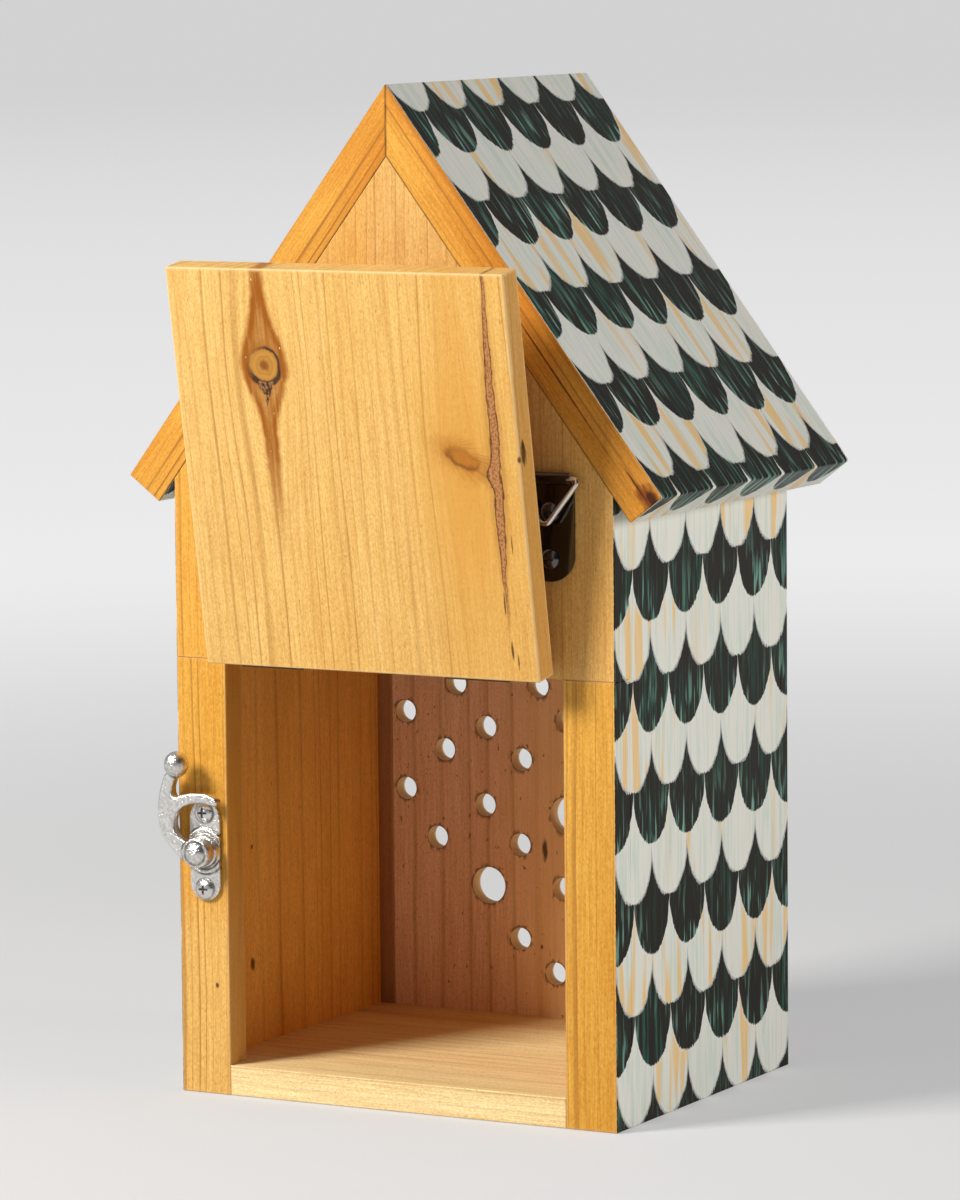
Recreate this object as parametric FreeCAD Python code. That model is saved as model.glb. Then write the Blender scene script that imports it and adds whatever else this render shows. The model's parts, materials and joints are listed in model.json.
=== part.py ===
import FreeCAD, Part
import math
import os

os.makedirs("parts", exist_ok=True)
Vector = FreeCAD.Vector

# A wooden bee hotel seen from its service side, in millimetres.
# The origin is the middle of the underside, +Z is up and the back with the door faces -Y.
# The door is drawn shut, then turned up about its hinge to the pose of the photograph.

# House body
body_width = 180.0
body_depth = 141.2
wall_thickness = 8.0
floor_thickness = 11.0
back_thickness = 11.4
back_stile_width = 20.6
opening_top = 161.2
front_thickness = 6.0
front_stile_width = 14.3
board_edge_round = 0.4

# Roof
roof_pitch = 52.75
roof_board = 15.4
ridge_height = 370.4
roof_half_width = 108.9
front_overhang = 14.2
roof_edge_round = 0.8

# Bee holes as a share of the half width of the front panel and a height: pairs are on both sides of it
small_hole = 8.6
large_hole = 14.1
small_holes_in_pairs = (
    (0.92, 125.8), (0.627, 137.8), (0.157, 138.5), (0.457, 121.5), (0.695, 111.9), (0.255, 109.9),
    (0.92, 95.9), (0.464, 91.5), (0.741, 77.7), (0.266, 77.0), (0.269, 40.6),
)
small_holes_in_middle = ((0.0, 126.0), (-0.026, 61.2), (-0.069, 28.2))
large_holes_in_pairs = ((0.448, 60.4),)
large_holes_in_middle = ((0.0, 89.5),)

# Door
door_side_gap = 1.3
door_top_gap = 2.0
door_bottom_gap = 1.0
door_thickness = 10.6
door_edge_round = 0.7
door_lean = 10.0

# Butt hinges along the top edge of the door
hinge_inset = 27.4
hinge_length = 25.0
hinge_leaf_thickness = 0.9
hinge_leaf_reach = 9.0
hinge_barrel_radius = 1.6
hinge_barrel_gap = 0.3
hinge_axis_rise = 0.3
hinge_pin_radius = 0.7
hinge_pin_head_radius = 1.3
hinge_pin_head_length = 0.7
hinge_knuckle_gap = 0.3
hinge_screw_spacing = 14.0
hinge_screw_depth = 5.0
hinge_screw_radius = 0.9
hinge_screw_head_radius = 1.9
hinge_screw_length = 9.0

# Fits
running_clearance = 0.05
wood_screw_clearance = 0.02
hole_clearance = 0.3

# Strap hangers with their wire rings
hanger_inset = 24.5
hanger_roof_gap = 11.6
hanger_width = 18.6
hanger_height = 39.0
hanger_thickness = 1.2
hanger_roll_width = 16.4
hanger_roll_turn = 292.0
hanger_screw_drops = (14.3, 31.0)
ring_wire_radius = 1.0
ring_half_width = 12.4
ring_drop = 18.2
ring_corner_radius = 1.3
ring_tip_radius = 2.6
ring_lean = 12.0

# Pan-head wood screws of the hangers and of the latch
screw_head_radius = 3.5
screw_head_height = 2.1
screw_rim_height = 0.7
screw_shank_radius = 1.6
screw_length = 9.0
screw_cross_length = 3.8
screw_cross_width = 0.85
screw_cross_depth = 1.1

# Swing-hook latch on the left stile
latch_inset = 11.7
latch_height = 90.4
latch_plate_length = 37.0
latch_plate_width = 12.6
latch_plate_thickness = 1.4
latch_pad_rise = 2.2
latch_pad_foot_radius = 6.2
latch_pad_top_radius = 5.8
latch_pad_hollow_radius = 4.6
latch_bead_inner_radius = 7.2
latch_bead_outer_radius = 8.3
latch_bead_height = 0.7
latch_screw_offset = 14.1
latch_arm_lift = 0.6
latch_arm_thickness = 3.8
latch_arm_round = 0.8
latch_boss_radius = 5.6
latch_boss_gap = 0.1
latch_boss_thickness = 5.0
latch_boss_round = 0.6
latch_ball_radius = 4.6
latch_ball_lift = 2.5
latch_collar_radius = 4.4
latch_collar_start = 2.3
latch_collar_length = 4.0
latch_rivet_radius = 1.8
latch_rivet_head_radius = 4.0
latch_rivet_head_height = 1.9
latch_rivet_foot_radius = 2.7
latch_rivet_foot_height = 1.5

# Outline of the latch arm round its pivot, sideways and upward, in the open pose of the photograph
arm_ball_centre = (-7.2, 32.7)
arm_outer_curve = (
    (1.2, -5.4), (-3.2, -4.5), (-7.5, -1.8), (-11.2, 1.6), (-14.3, 5.7), (-15.9, 10.9),
    (-16.2, 16.5), (-15.2, 22.4), (-13.0, 28.6),
)
arm_neck_curve = ((-6.6, 29.4), (-8.6, 27.0), (-9.8, 24.2), (-9.9, 21.8), (-8.9, 20.0))
arm_claw_top_curve = ((-8.9, 20.0), (-4.8, 21.4), (0.3, 22.1), (4.8, 21.8), (8.0, 20.6))
arm_claw_tip = (9.0, 18.9)
arm_claw_inner_curve = (
    (8.0, 17.5), (4.5, 18.1), (0.5, 18.3), (-4.4, 17.1), (-7.6, 14.8), (-9.2, 11.3),
    (-8.7, 7.9), (-6.6, 5.3), (-3.4, 4.1),
)

# Catch of the latch, on the outer face of the door
catch_plate_offset = 15.9
catch_plate_width = 10.0
catch_plate_height = 23.0
catch_plate_thickness = 1.2
catch_plate_corner = 2.0
catch_rib_inner_radius = 13.2
catch_rib_outer_radius = 17.2
catch_rib_half_angle = 13.0
catch_rib_height = 7.4
catch_rib_round = 0.8
catch_screw_offset = 7.9
catch_screw_head_radius = 2.6
catch_screw_head_height = 1.6
catch_screw_rim_height = 0.5
catch_screw_shank_radius = 1.2
catch_screw_length = 7.5
catch_screw_cross_length = 3.0
catch_screw_cross_width = 0.7
catch_screw_cross_depth = 0.8

# Lengths that follow from the driving sizes
half_width = body_width / 2
panel_half_width = half_width - front_stile_width
back_y = -body_depth / 2
front_y = body_depth / 2
pitch = math.radians(roof_pitch)
roof_inner_ridge = ridge_height - roof_board / math.cos(pitch)
opening_half_width = half_width - back_stile_width
hinge_axis = Vector(0, back_y - hinge_barrel_radius - hinge_barrel_gap, opening_top + hinge_axis_rise)
hinge_x = opening_half_width - hinge_inset
door_top = opening_top - door_top_gap
latch_x = latch_inset - half_width
latch_pad_top = latch_pad_rise + latch_plate_thickness
hanger_x = half_width - hanger_inset
hanger_top = roof_inner_ridge - (hanger_x + hanger_width / 2) * math.tan(pitch) - hanger_roof_gap
roll_inner_radius = ring_wire_radius + running_clearance
roll_outer_radius = roll_inner_radius + hanger_thickness
roll_y = back_y - roll_outer_radius
roll_z = hanger_top - roll_outer_radius


def save(name, *solids):
    """Write one node of the assembly, as one solid or as a group of separate solids."""
    shape = solids[0] if len(solids) == 1 else Part.makeCompound(list(solids))
    shape.exportStep("parts/" + name + ".step")


def block(x_range, y_range, z_range):
    """Box between two limits along each axis."""
    corner = Vector(x_range[0], y_range[0], z_range[0])
    return Part.makeBox(x_range[1] - x_range[0], y_range[1] - y_range[0], z_range[1] - z_range[0], corner)


def board_across(outline, y_range):
    """Board with an outline of (x, z) points, running from one y to another."""
    points = [Vector(x, y_range[0], z) for x, z in outline]
    face = Part.Face(Part.makePolygon(points + points[:1]))
    return face.extrude(Vector(0, y_range[1] - y_range[0], 0))


def rounded(shape, radius, keep_sharp=None):
    """Round the edges of a board, apart from those whose middle the test keeps sharp."""
    edges = [edge for edge in shape.Edges if not (keep_sharp and keep_sharp(edge.CenterOfMass))]
    return shape.makeFillet(radius, edges)


def mirrored(shape):
    """The same shape on the other side of the middle plane."""
    return shape.mirror(Vector(0, 0, 0), Vector(1, 0, 0))


def under_roof(x):
    """Height of the underside of the roof at a distance from the middle."""
    return roof_inner_ridge - abs(x) * math.tan(pitch)


def cylinder_along_y(x, z, radius, y_range):
    """Round bar or bore along Y."""
    return Part.makeCylinder(radius, y_range[1] - y_range[0], Vector(x, y_range[0], z), Vector(0, 1, 0))


def cylinder_along_x(y, z, radius, x_range):
    """Round bar or bore along X."""
    return Part.makeCylinder(radius, x_range[1] - x_range[0], Vector(x_range[0], y, z), Vector(1, 0, 0))


def out_of_back(x, z, lift=0.0):
    """Placement that turns +Z of a fitting outward from the back face, at a point of that face."""
    turn = FreeCAD.Rotation(Vector(1, 0, 0), 90)
    return FreeCAD.Placement(Vector(x, back_y - lift, z), turn)


def placed(shape, placement):
    """A copy of the shape moved by the placement."""
    copy = shape.copy()
    copy.Placement = placement.multiply(copy.Placement)
    return copy


def turned_profile(points, crown_top=None):
    """Solid of revolution round Z from (radius, z) points, with a crown of a sphere or a straight top."""
    corners = [Vector(radius, 0, z) for radius, z in points]
    edges = [Part.makeLine(start, end) for start, end in zip(corners, corners[1:])]
    last = corners[-1]
    if crown_top is not None:
        crown_height = crown_top - last.z
        sphere_radius = (last.x ** 2 + crown_height ** 2) / (2 * crown_height)
        half_way = last.x / 2
        half_way_z = crown_top - sphere_radius + math.sqrt(sphere_radius ** 2 - half_way ** 2)
        top = Vector(0, 0, crown_top)
        edges.append(Part.Arc(last, Vector(half_way, 0, half_way_z), top).toShape())
        last = top
    edges.append(Part.makeLine(last, corners[0]))
    face = Part.Face(Part.Wire(edges))
    return face.revolve(Vector(0, 0, 0), Vector(0, 0, 1), 360)


def pan_screw(head_radius, head_height, rim_height, shank_radius, length, cross):
    """Pan-head wood screw along Z, its head seated at z = 0, with a cross recess."""
    body = turned_profile(
        ((0, -length), (shank_radius, -length + 2 * shank_radius), (shank_radius, 0), (head_radius, 0),
         (head_radius, rim_height)),
        head_height,
    )
    cross_length, cross_width, cross_depth = cross
    for long_side, short_side in ((cross_length, cross_width), (cross_width, cross_length)):
        corner = Vector(-long_side / 2, -short_side / 2, head_height - cross_depth)
        body = body.cut(Part.makeBox(long_side, short_side, head_height, corner))
    return body


def screw_bore(shank_radius, length):
    """Pilot bore of a wood screw, from z = 0 downward."""
    return Part.makeCylinder(shank_radius + wood_screw_clearance, length, Vector(0, 0, -length))


def flat_screw(grow=0.0):
    """Countersunk screw along Z with its head flush at z = 0; grow gives the bore that holds it."""
    head_radius = hinge_screw_head_radius + grow
    shank_radius = hinge_screw_radius + grow
    head_depth = head_radius - shank_radius
    return turned_profile(
        ((0, -hinge_screw_length - grow), (shank_radius, -hinge_screw_length + 2 * hinge_screw_radius),
         (shank_radius, -head_depth), (head_radius, 0), (0, 0)),
    )


main_screw = pan_screw(
    screw_head_radius, screw_head_height, screw_rim_height, screw_shank_radius, screw_length,
    (screw_cross_length, screw_cross_width, screw_cross_depth),
)
main_bore = screw_bore(screw_shank_radius, screw_length)
catch_screw = pan_screw(
    catch_screw_head_radius, catch_screw_head_height, catch_screw_rim_height,
    catch_screw_shank_radius, catch_screw_length,
    (catch_screw_cross_length, catch_screw_cross_width, catch_screw_cross_depth),
)

hanger_screw_places = {
    side: [out_of_back(sign * hanger_x, hanger_top - drop, hanger_thickness) for drop in hanger_screw_drops]
    for side, sign in (("left", -1), ("right", 1))
}
latch_screw_places = [
    out_of_back(latch_x, latch_height + sign * latch_screw_offset, latch_plate_thickness) for sign in (1, -1)
]

# Side walls, with their tops bevelled to the roof
wall_y = (back_y + back_thickness, front_y - front_thickness)
wall_inner = half_width - wall_thickness
right_wall = board_across(
    ((wall_inner, 0), (half_width, 0), (half_width, under_roof(half_width)),
     (wall_inner, under_roof(wall_inner))),
    wall_y,
)
right_wall = rounded(right_wall, board_edge_round)
save("right_wall", right_wall)
save("left_wall", mirrored(right_wall))

# Floor board, notched round the two back stiles, its back edge in line with their faces
floor_board = block((-wall_inner, wall_inner), (back_y, wall_y[1]), (0, floor_thickness))
for sign in (-1, 1):
    notch_x = sorted((sign * opening_half_width, sign * wall_inner))
    floor_board = floor_board.cut(block(notch_x, (back_y, wall_y[0]), (0, floor_thickness)))
floor_board = rounded(floor_board, board_edge_round, lambda middle: middle.y > back_y + board_edge_round)
save("floor_board", floor_board)

# Back stiles at the sides of the door opening; the left one is bored for the latch screws
right_stile = block((opening_half_width, half_width), (back_y, wall_y[0]), (0, opening_top))
right_stile = rounded(right_stile, board_edge_round)
left_stile = mirrored(right_stile)
for place in latch_screw_places:
    left_stile = left_stile.cut(placed(main_bore, place))
save("right_back_stile", right_stile)
save("left_back_stile", left_stile)

# Gable panel above the opening, bored for the hanger screws and for the hinge screws
gable_panel = board_across(
    ((-half_width, opening_top), (half_width, opening_top), (half_width, under_roof(half_width)),
     (0, roof_inner_ridge), (-half_width, under_roof(half_width))),
    (back_y, wall_y[0]),
)
gable_panel = rounded(gable_panel, board_edge_round)
for places in hanger_screw_places.values():
    for place in places:
        gable_panel = gable_panel.cut(placed(main_bore, place))

# Front: two stiles and the thin panel with the bee holes between them
front_y_range = (wall_y[1], front_y)
right_front_stile = board_across(
    ((panel_half_width, 0), (half_width, 0), (half_width, under_roof(half_width)),
     (panel_half_width, under_roof(panel_half_width))),
    front_y_range,
)
right_front_stile = rounded(right_front_stile, board_edge_round)
save("right_front_stile", right_front_stile)
save("left_front_stile", mirrored(right_front_stile))

front_panel = board_across(
    ((-panel_half_width, 0), (panel_half_width, 0), (panel_half_width, under_roof(panel_half_width)),
     (0, roof_inner_ridge), (-panel_half_width, under_roof(panel_half_width))),
    front_y_range,
)
front_panel = rounded(front_panel, board_edge_round)
for diameter, in_pairs, in_middle in (
    (small_hole, small_holes_in_pairs, small_holes_in_middle),
    (large_hole, large_holes_in_pairs, large_holes_in_middle),
):
    centres = list(in_middle)
    for share, z in in_pairs:
        centres += [(share, z), (-share, z)]
    bores = []
    for share, z in centres:
        bores.append(cylinder_along_y(share * panel_half_width, z, diameter / 2, front_y_range))
    front_panel = front_panel.cut(Part.makeCompound(bores))
save("front_drilled_panel", front_panel)

# Roof boards, mitred at the ridge, their eaves cut square to the slope and their backs in line with the gable
eave_outer = (roof_half_width, ridge_height - roof_half_width * math.tan(pitch))
eave_inner = (eave_outer[0] - roof_board * math.sin(pitch), eave_outer[1] - roof_board * math.cos(pitch))
right_roof = board_across(
    ((0, ridge_height), eave_outer, eave_inner, (0, roof_inner_ridge)), (back_y, front_y + front_overhang)
)
right_roof = rounded(right_roof, roof_edge_round, lambda middle: middle.x < eave_inner[0] - roof_edge_round)
save("right_roof_board", right_roof)
save("left_roof_board", mirrored(right_roof))

# Door panel and its catch, still shut
door_half_width = opening_half_width - door_side_gap
door_bottom = floor_thickness + door_bottom_gap
door_panel = block(
    (-door_half_width, door_half_width), (back_y, back_y + door_thickness), (door_bottom, door_top)
)
door_panel = rounded(door_panel, door_edge_round)

catch_plate_x = latch_x + catch_plate_offset
catch_plate = block(
    (catch_plate_x - catch_plate_width / 2, catch_plate_x + catch_plate_width / 2),
    (back_y - catch_plate_thickness, back_y),
    (latch_height - catch_plate_height / 2, latch_height + catch_plate_height / 2),
)
corner_edges = [edge for edge in catch_plate.Edges if abs(edge.tangentAt(edge.FirstParameter).y) > 0.9]
catch_plate = catch_plate.makeFillet(catch_plate_corner, corner_edges)
rib_y = (back_y - catch_rib_height, back_y - catch_plate_thickness / 2)
rib_start = Vector(latch_x, rib_y[0], latch_height)
rib_ring = cylinder_along_y(latch_x, latch_height, catch_rib_outer_radius, rib_y)
rib_ring = rib_ring.cut(cylinder_along_y(latch_x, latch_height, catch_rib_inner_radius, rib_y))
rib_reach = 2 * catch_rib_outer_radius
rib_rise = rib_reach * math.tan(math.radians(catch_rib_half_angle))
rib_wedge = board_across(
    ((latch_x, latch_height), (latch_x + rib_reach, latch_height - rib_rise),
     (latch_x + rib_reach, latch_height + rib_rise)),
    rib_y,
)
catch_rib = rib_ring.common(rib_wedge)
top_edges = [edge for edge in catch_rib.Edges if edge.CenterOfMass.y < rib_y[0] + catch_rib_round / 2]
catch_rib = catch_rib.makeFillet(catch_rib_round, top_edges)
latch_catch = catch_plate.fuse(catch_rib).removeSplitter()
catch_screws = []
for sign in (1, -1):
    place = out_of_back(catch_plate_x, latch_height + sign * catch_screw_offset, catch_plate_thickness)
    catch_screws.append(placed(catch_screw, place))
    door_panel = door_panel.cut(placed(screw_bore(catch_screw_shank_radius, catch_screw_length), place))
    clear_bore = Part.makeCylinder(catch_screw_shank_radius + hole_clearance, 2 * catch_plate_thickness,
                                   Vector(0, 0, -catch_plate_thickness))
    latch_catch = latch_catch.cut(placed(clear_bore, place))

# Hinges: one leaf on the bottom edge of the gable panel, one on the top edge of the door, round one pin
knuckle_half = hinge_length / 6
frame_leaf_z = (opening_top - hinge_leaf_thickness, opening_top)
door_leaf_z = (door_top, door_top + hinge_leaf_thickness)
leaf_back = back_y + hinge_leaf_reach
barrel_zone_y = back_y + hinge_knuckle_gap
bore_radius = hinge_pin_radius + running_clearance


def hinge_leaf(centre_x, z_range, knuckles):
    """Leaf of a hinge with a tube at each of its knuckles; between them it stays behind the barrel."""
    leaf_x = (centre_x - hinge_length / 2, centre_x + hinge_length / 2)
    leaf = block(leaf_x, (barrel_zone_y, leaf_back), z_range)
    for start, end in knuckles:
        knuckle_x = (centre_x + start, centre_x + end)
        leaf = leaf.fuse(block(knuckle_x, (hinge_axis.y, barrel_zone_y), z_range))
        leaf = leaf.fuse(cylinder_along_x(hinge_axis.y, hinge_axis.z, hinge_barrel_radius, knuckle_x))
    leaf = leaf.cut(cylinder_along_x(hinge_axis.y, hinge_axis.z, bore_radius, leaf_x))
    return leaf.removeSplitter()


frame_knuckles = (
    (-hinge_length / 2, -knuckle_half - hinge_knuckle_gap),
    (knuckle_half + hinge_knuckle_gap, hinge_length / 2),
)
door_knuckles = ((-knuckle_half, knuckle_half),)
frame_screws = []
door_screws = []
door_hinge_leaves = {}
for side, sign in (("left", -1), ("right", 1)):
    centre_x = sign * hinge_x
    frame_leaf = hinge_leaf(centre_x, frame_leaf_z, frame_knuckles)
    door_leaf = hinge_leaf(centre_x, door_leaf_z, door_knuckles)
    for screw_sign in (-1, 1):
        screw_x = centre_x + screw_sign * hinge_screw_spacing / 2
        screw_y = back_y + hinge_screw_depth
        upside_down = FreeCAD.Rotation(Vector(1, 0, 0), 180)
        upward = FreeCAD.Placement(Vector(screw_x, screw_y, frame_leaf_z[0]), upside_down)
        downward = FreeCAD.Placement(Vector(screw_x, screw_y, door_leaf_z[1]), FreeCAD.Rotation())
        frame_screws.append(placed(flat_screw(), upward))
        door_screws.append(placed(flat_screw(), downward))
        frame_bore = placed(flat_screw(wood_screw_clearance), upward)
        door_bore = placed(flat_screw(wood_screw_clearance), downward)
        frame_leaf = frame_leaf.cut(frame_bore)
        gable_panel = gable_panel.cut(frame_bore)
        door_leaf = door_leaf.cut(door_bore)
        door_panel = door_panel.cut(door_bore)
    pin_x = (centre_x - hinge_length / 2, centre_x + hinge_length / 2)
    pin = cylinder_along_x(hinge_axis.y, hinge_axis.z, hinge_pin_radius, pin_x)
    for head_start in (pin_x[0] - hinge_pin_head_length, pin_x[1]):
        head_x = (head_start, head_start + hinge_pin_head_length)
        pin = pin.fuse(cylinder_along_x(hinge_axis.y, hinge_axis.z, hinge_pin_head_radius, head_x))
    save(side + "_hinge_frame_leaf", frame_leaf)
    save(side + "_hinge_pin", pin.removeSplitter())
    door_hinge_leaves[side] = door_leaf
save("hinge_frame_screws", *frame_screws)
save("back_gable_panel", gable_panel)


def opened(shape):
    """A piece of the door, turned up about the hinge to the pose of the photograph."""
    copy = shape.copy()
    copy.rotate(hinge_axis, Vector(1, 0, 0), door_lean - 180)
    return copy


save("door_panel", opened(door_panel))
save("latch_catch", opened(latch_catch))
save("latch_catch_screws", *[opened(screw) for screw in catch_screws])
save("hinge_door_screws", *[opened(screw) for screw in door_screws])
for side, leaf in door_hinge_leaves.items():
    save(side + "_hinge_door_leaf", opened(leaf))

# Strap hangers: a plate with a round lower end, its top rolled forward round the wire of the ring


def hanger_strap(centre_x):
    """One strap hanger on the gable panel."""
    half = hanger_width / 2
    plate_y = (back_y - hanger_thickness, back_y)
    round_end_z = hanger_top - hanger_height + half
    strap = block((centre_x - half, centre_x + half), plate_y, (round_end_z, roll_z - roll_outer_radius))
    strap = strap.fuse(cylinder_along_y(centre_x, round_end_z, half, plate_y))
    roll_x = (centre_x - hanger_roll_width / 2, centre_x + hanger_roll_width / 2)
    strap = strap.fuse(block(roll_x, plate_y, (roll_z - roll_outer_radius, roll_z)))
    # Half circle over the top first, then on to the curled end
    tube_centre = Vector(roll_x[0], roll_y, roll_z)
    tube = Part.makeCylinder(
        roll_outer_radius, hanger_roll_width, tube_centre, Vector(1, 0, 0), hanger_roll_turn
    )
    tube = tube.cut(cylinder_along_x(roll_y, roll_z, roll_inner_radius, roll_x))
    strap = strap.fuse(tube).removeSplitter()
    hole_radius = screw_shank_radius + hole_clearance
    for drop in hanger_screw_drops:
        strap = strap.cut(cylinder_along_y(centre_x, hanger_top - drop, hole_radius, plate_y))
    return strap


def hanger_ring(centre_x):
    """Triangular wire ring: its straight bar lies in the roll, its tip hangs down and leans out."""
    half = ring_half_width
    corners = (Vector(-half, 0, 0), Vector(half, 0, 0), Vector(0, 0, -ring_drop))
    radii = (ring_corner_radius, ring_corner_radius, ring_tip_radius)
    edges = []
    arc_ends = []
    for index, corner in enumerate(corners):
        to_last = (corners[index - 1] - corner).normalize()
        to_next = (corners[(index + 1) % 3] - corner).normalize()
        half_angle = to_last.getAngle(to_next) / 2
        setback = radii[index] / math.tan(half_angle)
        bisector = (to_last + to_next).normalize()
        centre = corner + bisector * (radii[index] / math.sin(half_angle))
        middle = centre - bisector * radii[index]
        arc_ends.append((corner + to_last * setback, corner + to_next * setback))
        edges.append(Part.Arc(arc_ends[-1][0], middle, arc_ends[-1][1]).toShape())
    lines = [Part.makeLine(arc_ends[index][1], arc_ends[(index + 1) % 3][0]) for index in range(3)]
    path = Part.Wire([edge for pair in zip(edges, lines) for edge in pair])
    start = arc_ends[0][0]
    along = (corners[0] - corners[2]).normalize()
    section = Part.Wire(Part.makeCircle(ring_wire_radius, start, along))
    ring = path.makePipeShell([section], True, True)
    ring.rotate(Vector(0, 0, 0), Vector(1, 0, 0), -ring_lean)
    ring.translate(Vector(centre_x, roll_y, roll_z))
    return ring


hanger_screws = []
for side, sign in (("left", -1), ("right", 1)):
    centre_x = sign * hanger_x
    save(side + "_hanger_strap", hanger_strap(centre_x))
    save(side + "_hanger_ring", hanger_ring(centre_x))
    hanger_screws += [placed(main_screw, place) for place in hanger_screw_places[side]]
save("hanger_screws", *hanger_screws)

# Latch base plate: two round ends for the screws, and inside a bead a hollow pad that carries the pivot
end_radius = latch_plate_width / 2
end_offset = latch_plate_length / 2 - end_radius


def plate_outline(height):
    """Block of a height with the round-ended outline of the base plate."""
    shape = Part.makeBox(latch_plate_width, 2 * end_offset, height, Vector(-end_radius, -end_offset, 0))
    for sign in (-1, 1):
        shape = shape.fuse(Part.makeCylinder(end_radius, height, Vector(0, sign * end_offset, 0)))
    return shape.removeSplitter()


bead_top = latch_plate_thickness + latch_bead_height
bead = Part.makeCylinder(latch_bead_outer_radius, bead_top)
bead = bead.cut(Part.makeCylinder(latch_bead_inner_radius, bead_top)).common(plate_outline(bead_top))
pad = Part.makeCone(latch_pad_foot_radius, latch_pad_top_radius, latch_pad_top)
base_plate = plate_outline(latch_plate_thickness).fuse([bead, pad])
base_plate = base_plate.cut(Part.makeCylinder(latch_pad_hollow_radius, latch_pad_rise))
for sign in (-1, 1):
    screw_hole = Part.makeCylinder(screw_shank_radius + hole_clearance, latch_plate_thickness,
                                   Vector(0, sign * latch_screw_offset, 0))
    base_plate = base_plate.cut(screw_hole)
rivet_hole_radius = latch_rivet_radius + wood_screw_clearance
base_plate = base_plate.cut(Part.makeCylinder(rivet_hole_radius, latch_pad_top))
latch_place = out_of_back(latch_x, latch_height)
save("latch_base_plate", placed(base_plate.removeSplitter(), latch_place))
save("latch_base_screws", *[placed(main_screw, place) for place in latch_screw_places])

# Latch arm: a cast hook with a boss on the rivet and a ball for the finger
arm_bottom = latch_pad_top + latch_arm_lift
boss_bottom = latch_pad_top + latch_boss_gap


def smooth_edge(points):
    """Smooth curve through (sideways, upward) points at the level of the underside of the arm."""
    curve = Part.BSplineCurve()
    curve.interpolate([Vector(x, y, arm_bottom) for x, y in points])
    return curve.toShape()


def straight_edge(start, end):
    """Straight edge between two points at the level of the underside of the arm."""
    return Part.makeLine(Vector(start[0], start[1], arm_bottom), Vector(end[0], end[1], arm_bottom))


tip_arc = Part.Arc(
    Vector(arm_claw_top_curve[-1][0], arm_claw_top_curve[-1][1], arm_bottom),
    Vector(arm_claw_tip[0], arm_claw_tip[1], arm_bottom),
    Vector(arm_claw_inner_curve[0][0], arm_claw_inner_curve[0][1], arm_bottom),
).toShape()
outline = Part.Wire([
    smooth_edge(arm_outer_curve),
    straight_edge(arm_outer_curve[-1], arm_neck_curve[0]),
    smooth_edge(arm_neck_curve),
    smooth_edge(arm_claw_top_curve),
    tip_arc,
    smooth_edge(arm_claw_inner_curve),
    straight_edge(arm_claw_inner_curve[-1], arm_outer_curve[0]),
])
latch_arm = Part.Face(outline).extrude(Vector(0, 0, latch_arm_thickness))
arm_top = arm_bottom + latch_arm_thickness
rim_edges = [edge for edge in latch_arm.Edges
             if edge.CenterOfMass.z > arm_top - latch_arm_round / 2 and not isinstance(edge.Curve, Part.Line)]
latch_arm = latch_arm.makeFillet(latch_arm_round, rim_edges)
boss = Part.makeCylinder(latch_boss_radius, latch_boss_thickness, Vector(0, 0, boss_bottom))
boss_edges = [edge for edge in boss.Edges if edge.CenterOfMass.z > boss_bottom + latch_boss_thickness / 2
              and edge.isClosed()]
boss = boss.makeFillet(latch_boss_round, boss_edges)
arm_middle = arm_bottom + latch_arm_thickness / 2
ball_centre = Vector(arm_ball_centre[0], arm_ball_centre[1], arm_middle + latch_ball_lift)
neck_end = Vector((arm_outer_curve[-1][0] + arm_neck_curve[0][0]) / 2, arm_outer_curve[-1][1], arm_middle)
ball_axis = (ball_centre - neck_end).normalize()
collar_foot = ball_centre - ball_axis * (latch_collar_start + latch_collar_length)
collar = Part.makeCone(latch_arm_thickness / 2, latch_collar_radius, latch_collar_length, collar_foot, ball_axis)
latch_arm = latch_arm.fuse([boss, collar, Part.makeSphere(latch_ball_radius, ball_centre)])
boss_top = boss_bottom + latch_boss_thickness
latch_arm = latch_arm.cut(Part.makeCylinder(latch_rivet_radius + running_clearance, boss_top))
save("latch_arm", placed(latch_arm.removeSplitter(), latch_place))

# Rivet of the latch: a foot under the pad, a shank through plate and boss, a domed head outside
rivet_head_bottom = boss_top + latch_boss_gap
foot_bottom = latch_pad_rise - latch_rivet_foot_height
rivet_top = rivet_head_bottom + latch_rivet_head_height
rivet = turned_profile(
    ((0, foot_bottom), (latch_rivet_foot_radius, foot_bottom), (latch_rivet_foot_radius, latch_pad_rise),
     (latch_rivet_radius, latch_pad_rise), (latch_rivet_radius, rivet_head_bottom),
     (latch_rivet_head_radius, rivet_head_bottom)),
    rivet_top,
)
save("latch_pivot_rivet", placed(rivet, latch_place))
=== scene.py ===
"""Bee hotel: wood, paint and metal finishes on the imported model, and a studio stage round it."""

import json
import math

import bmesh
import bpy
from mathutils import Matrix, Vector


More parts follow.
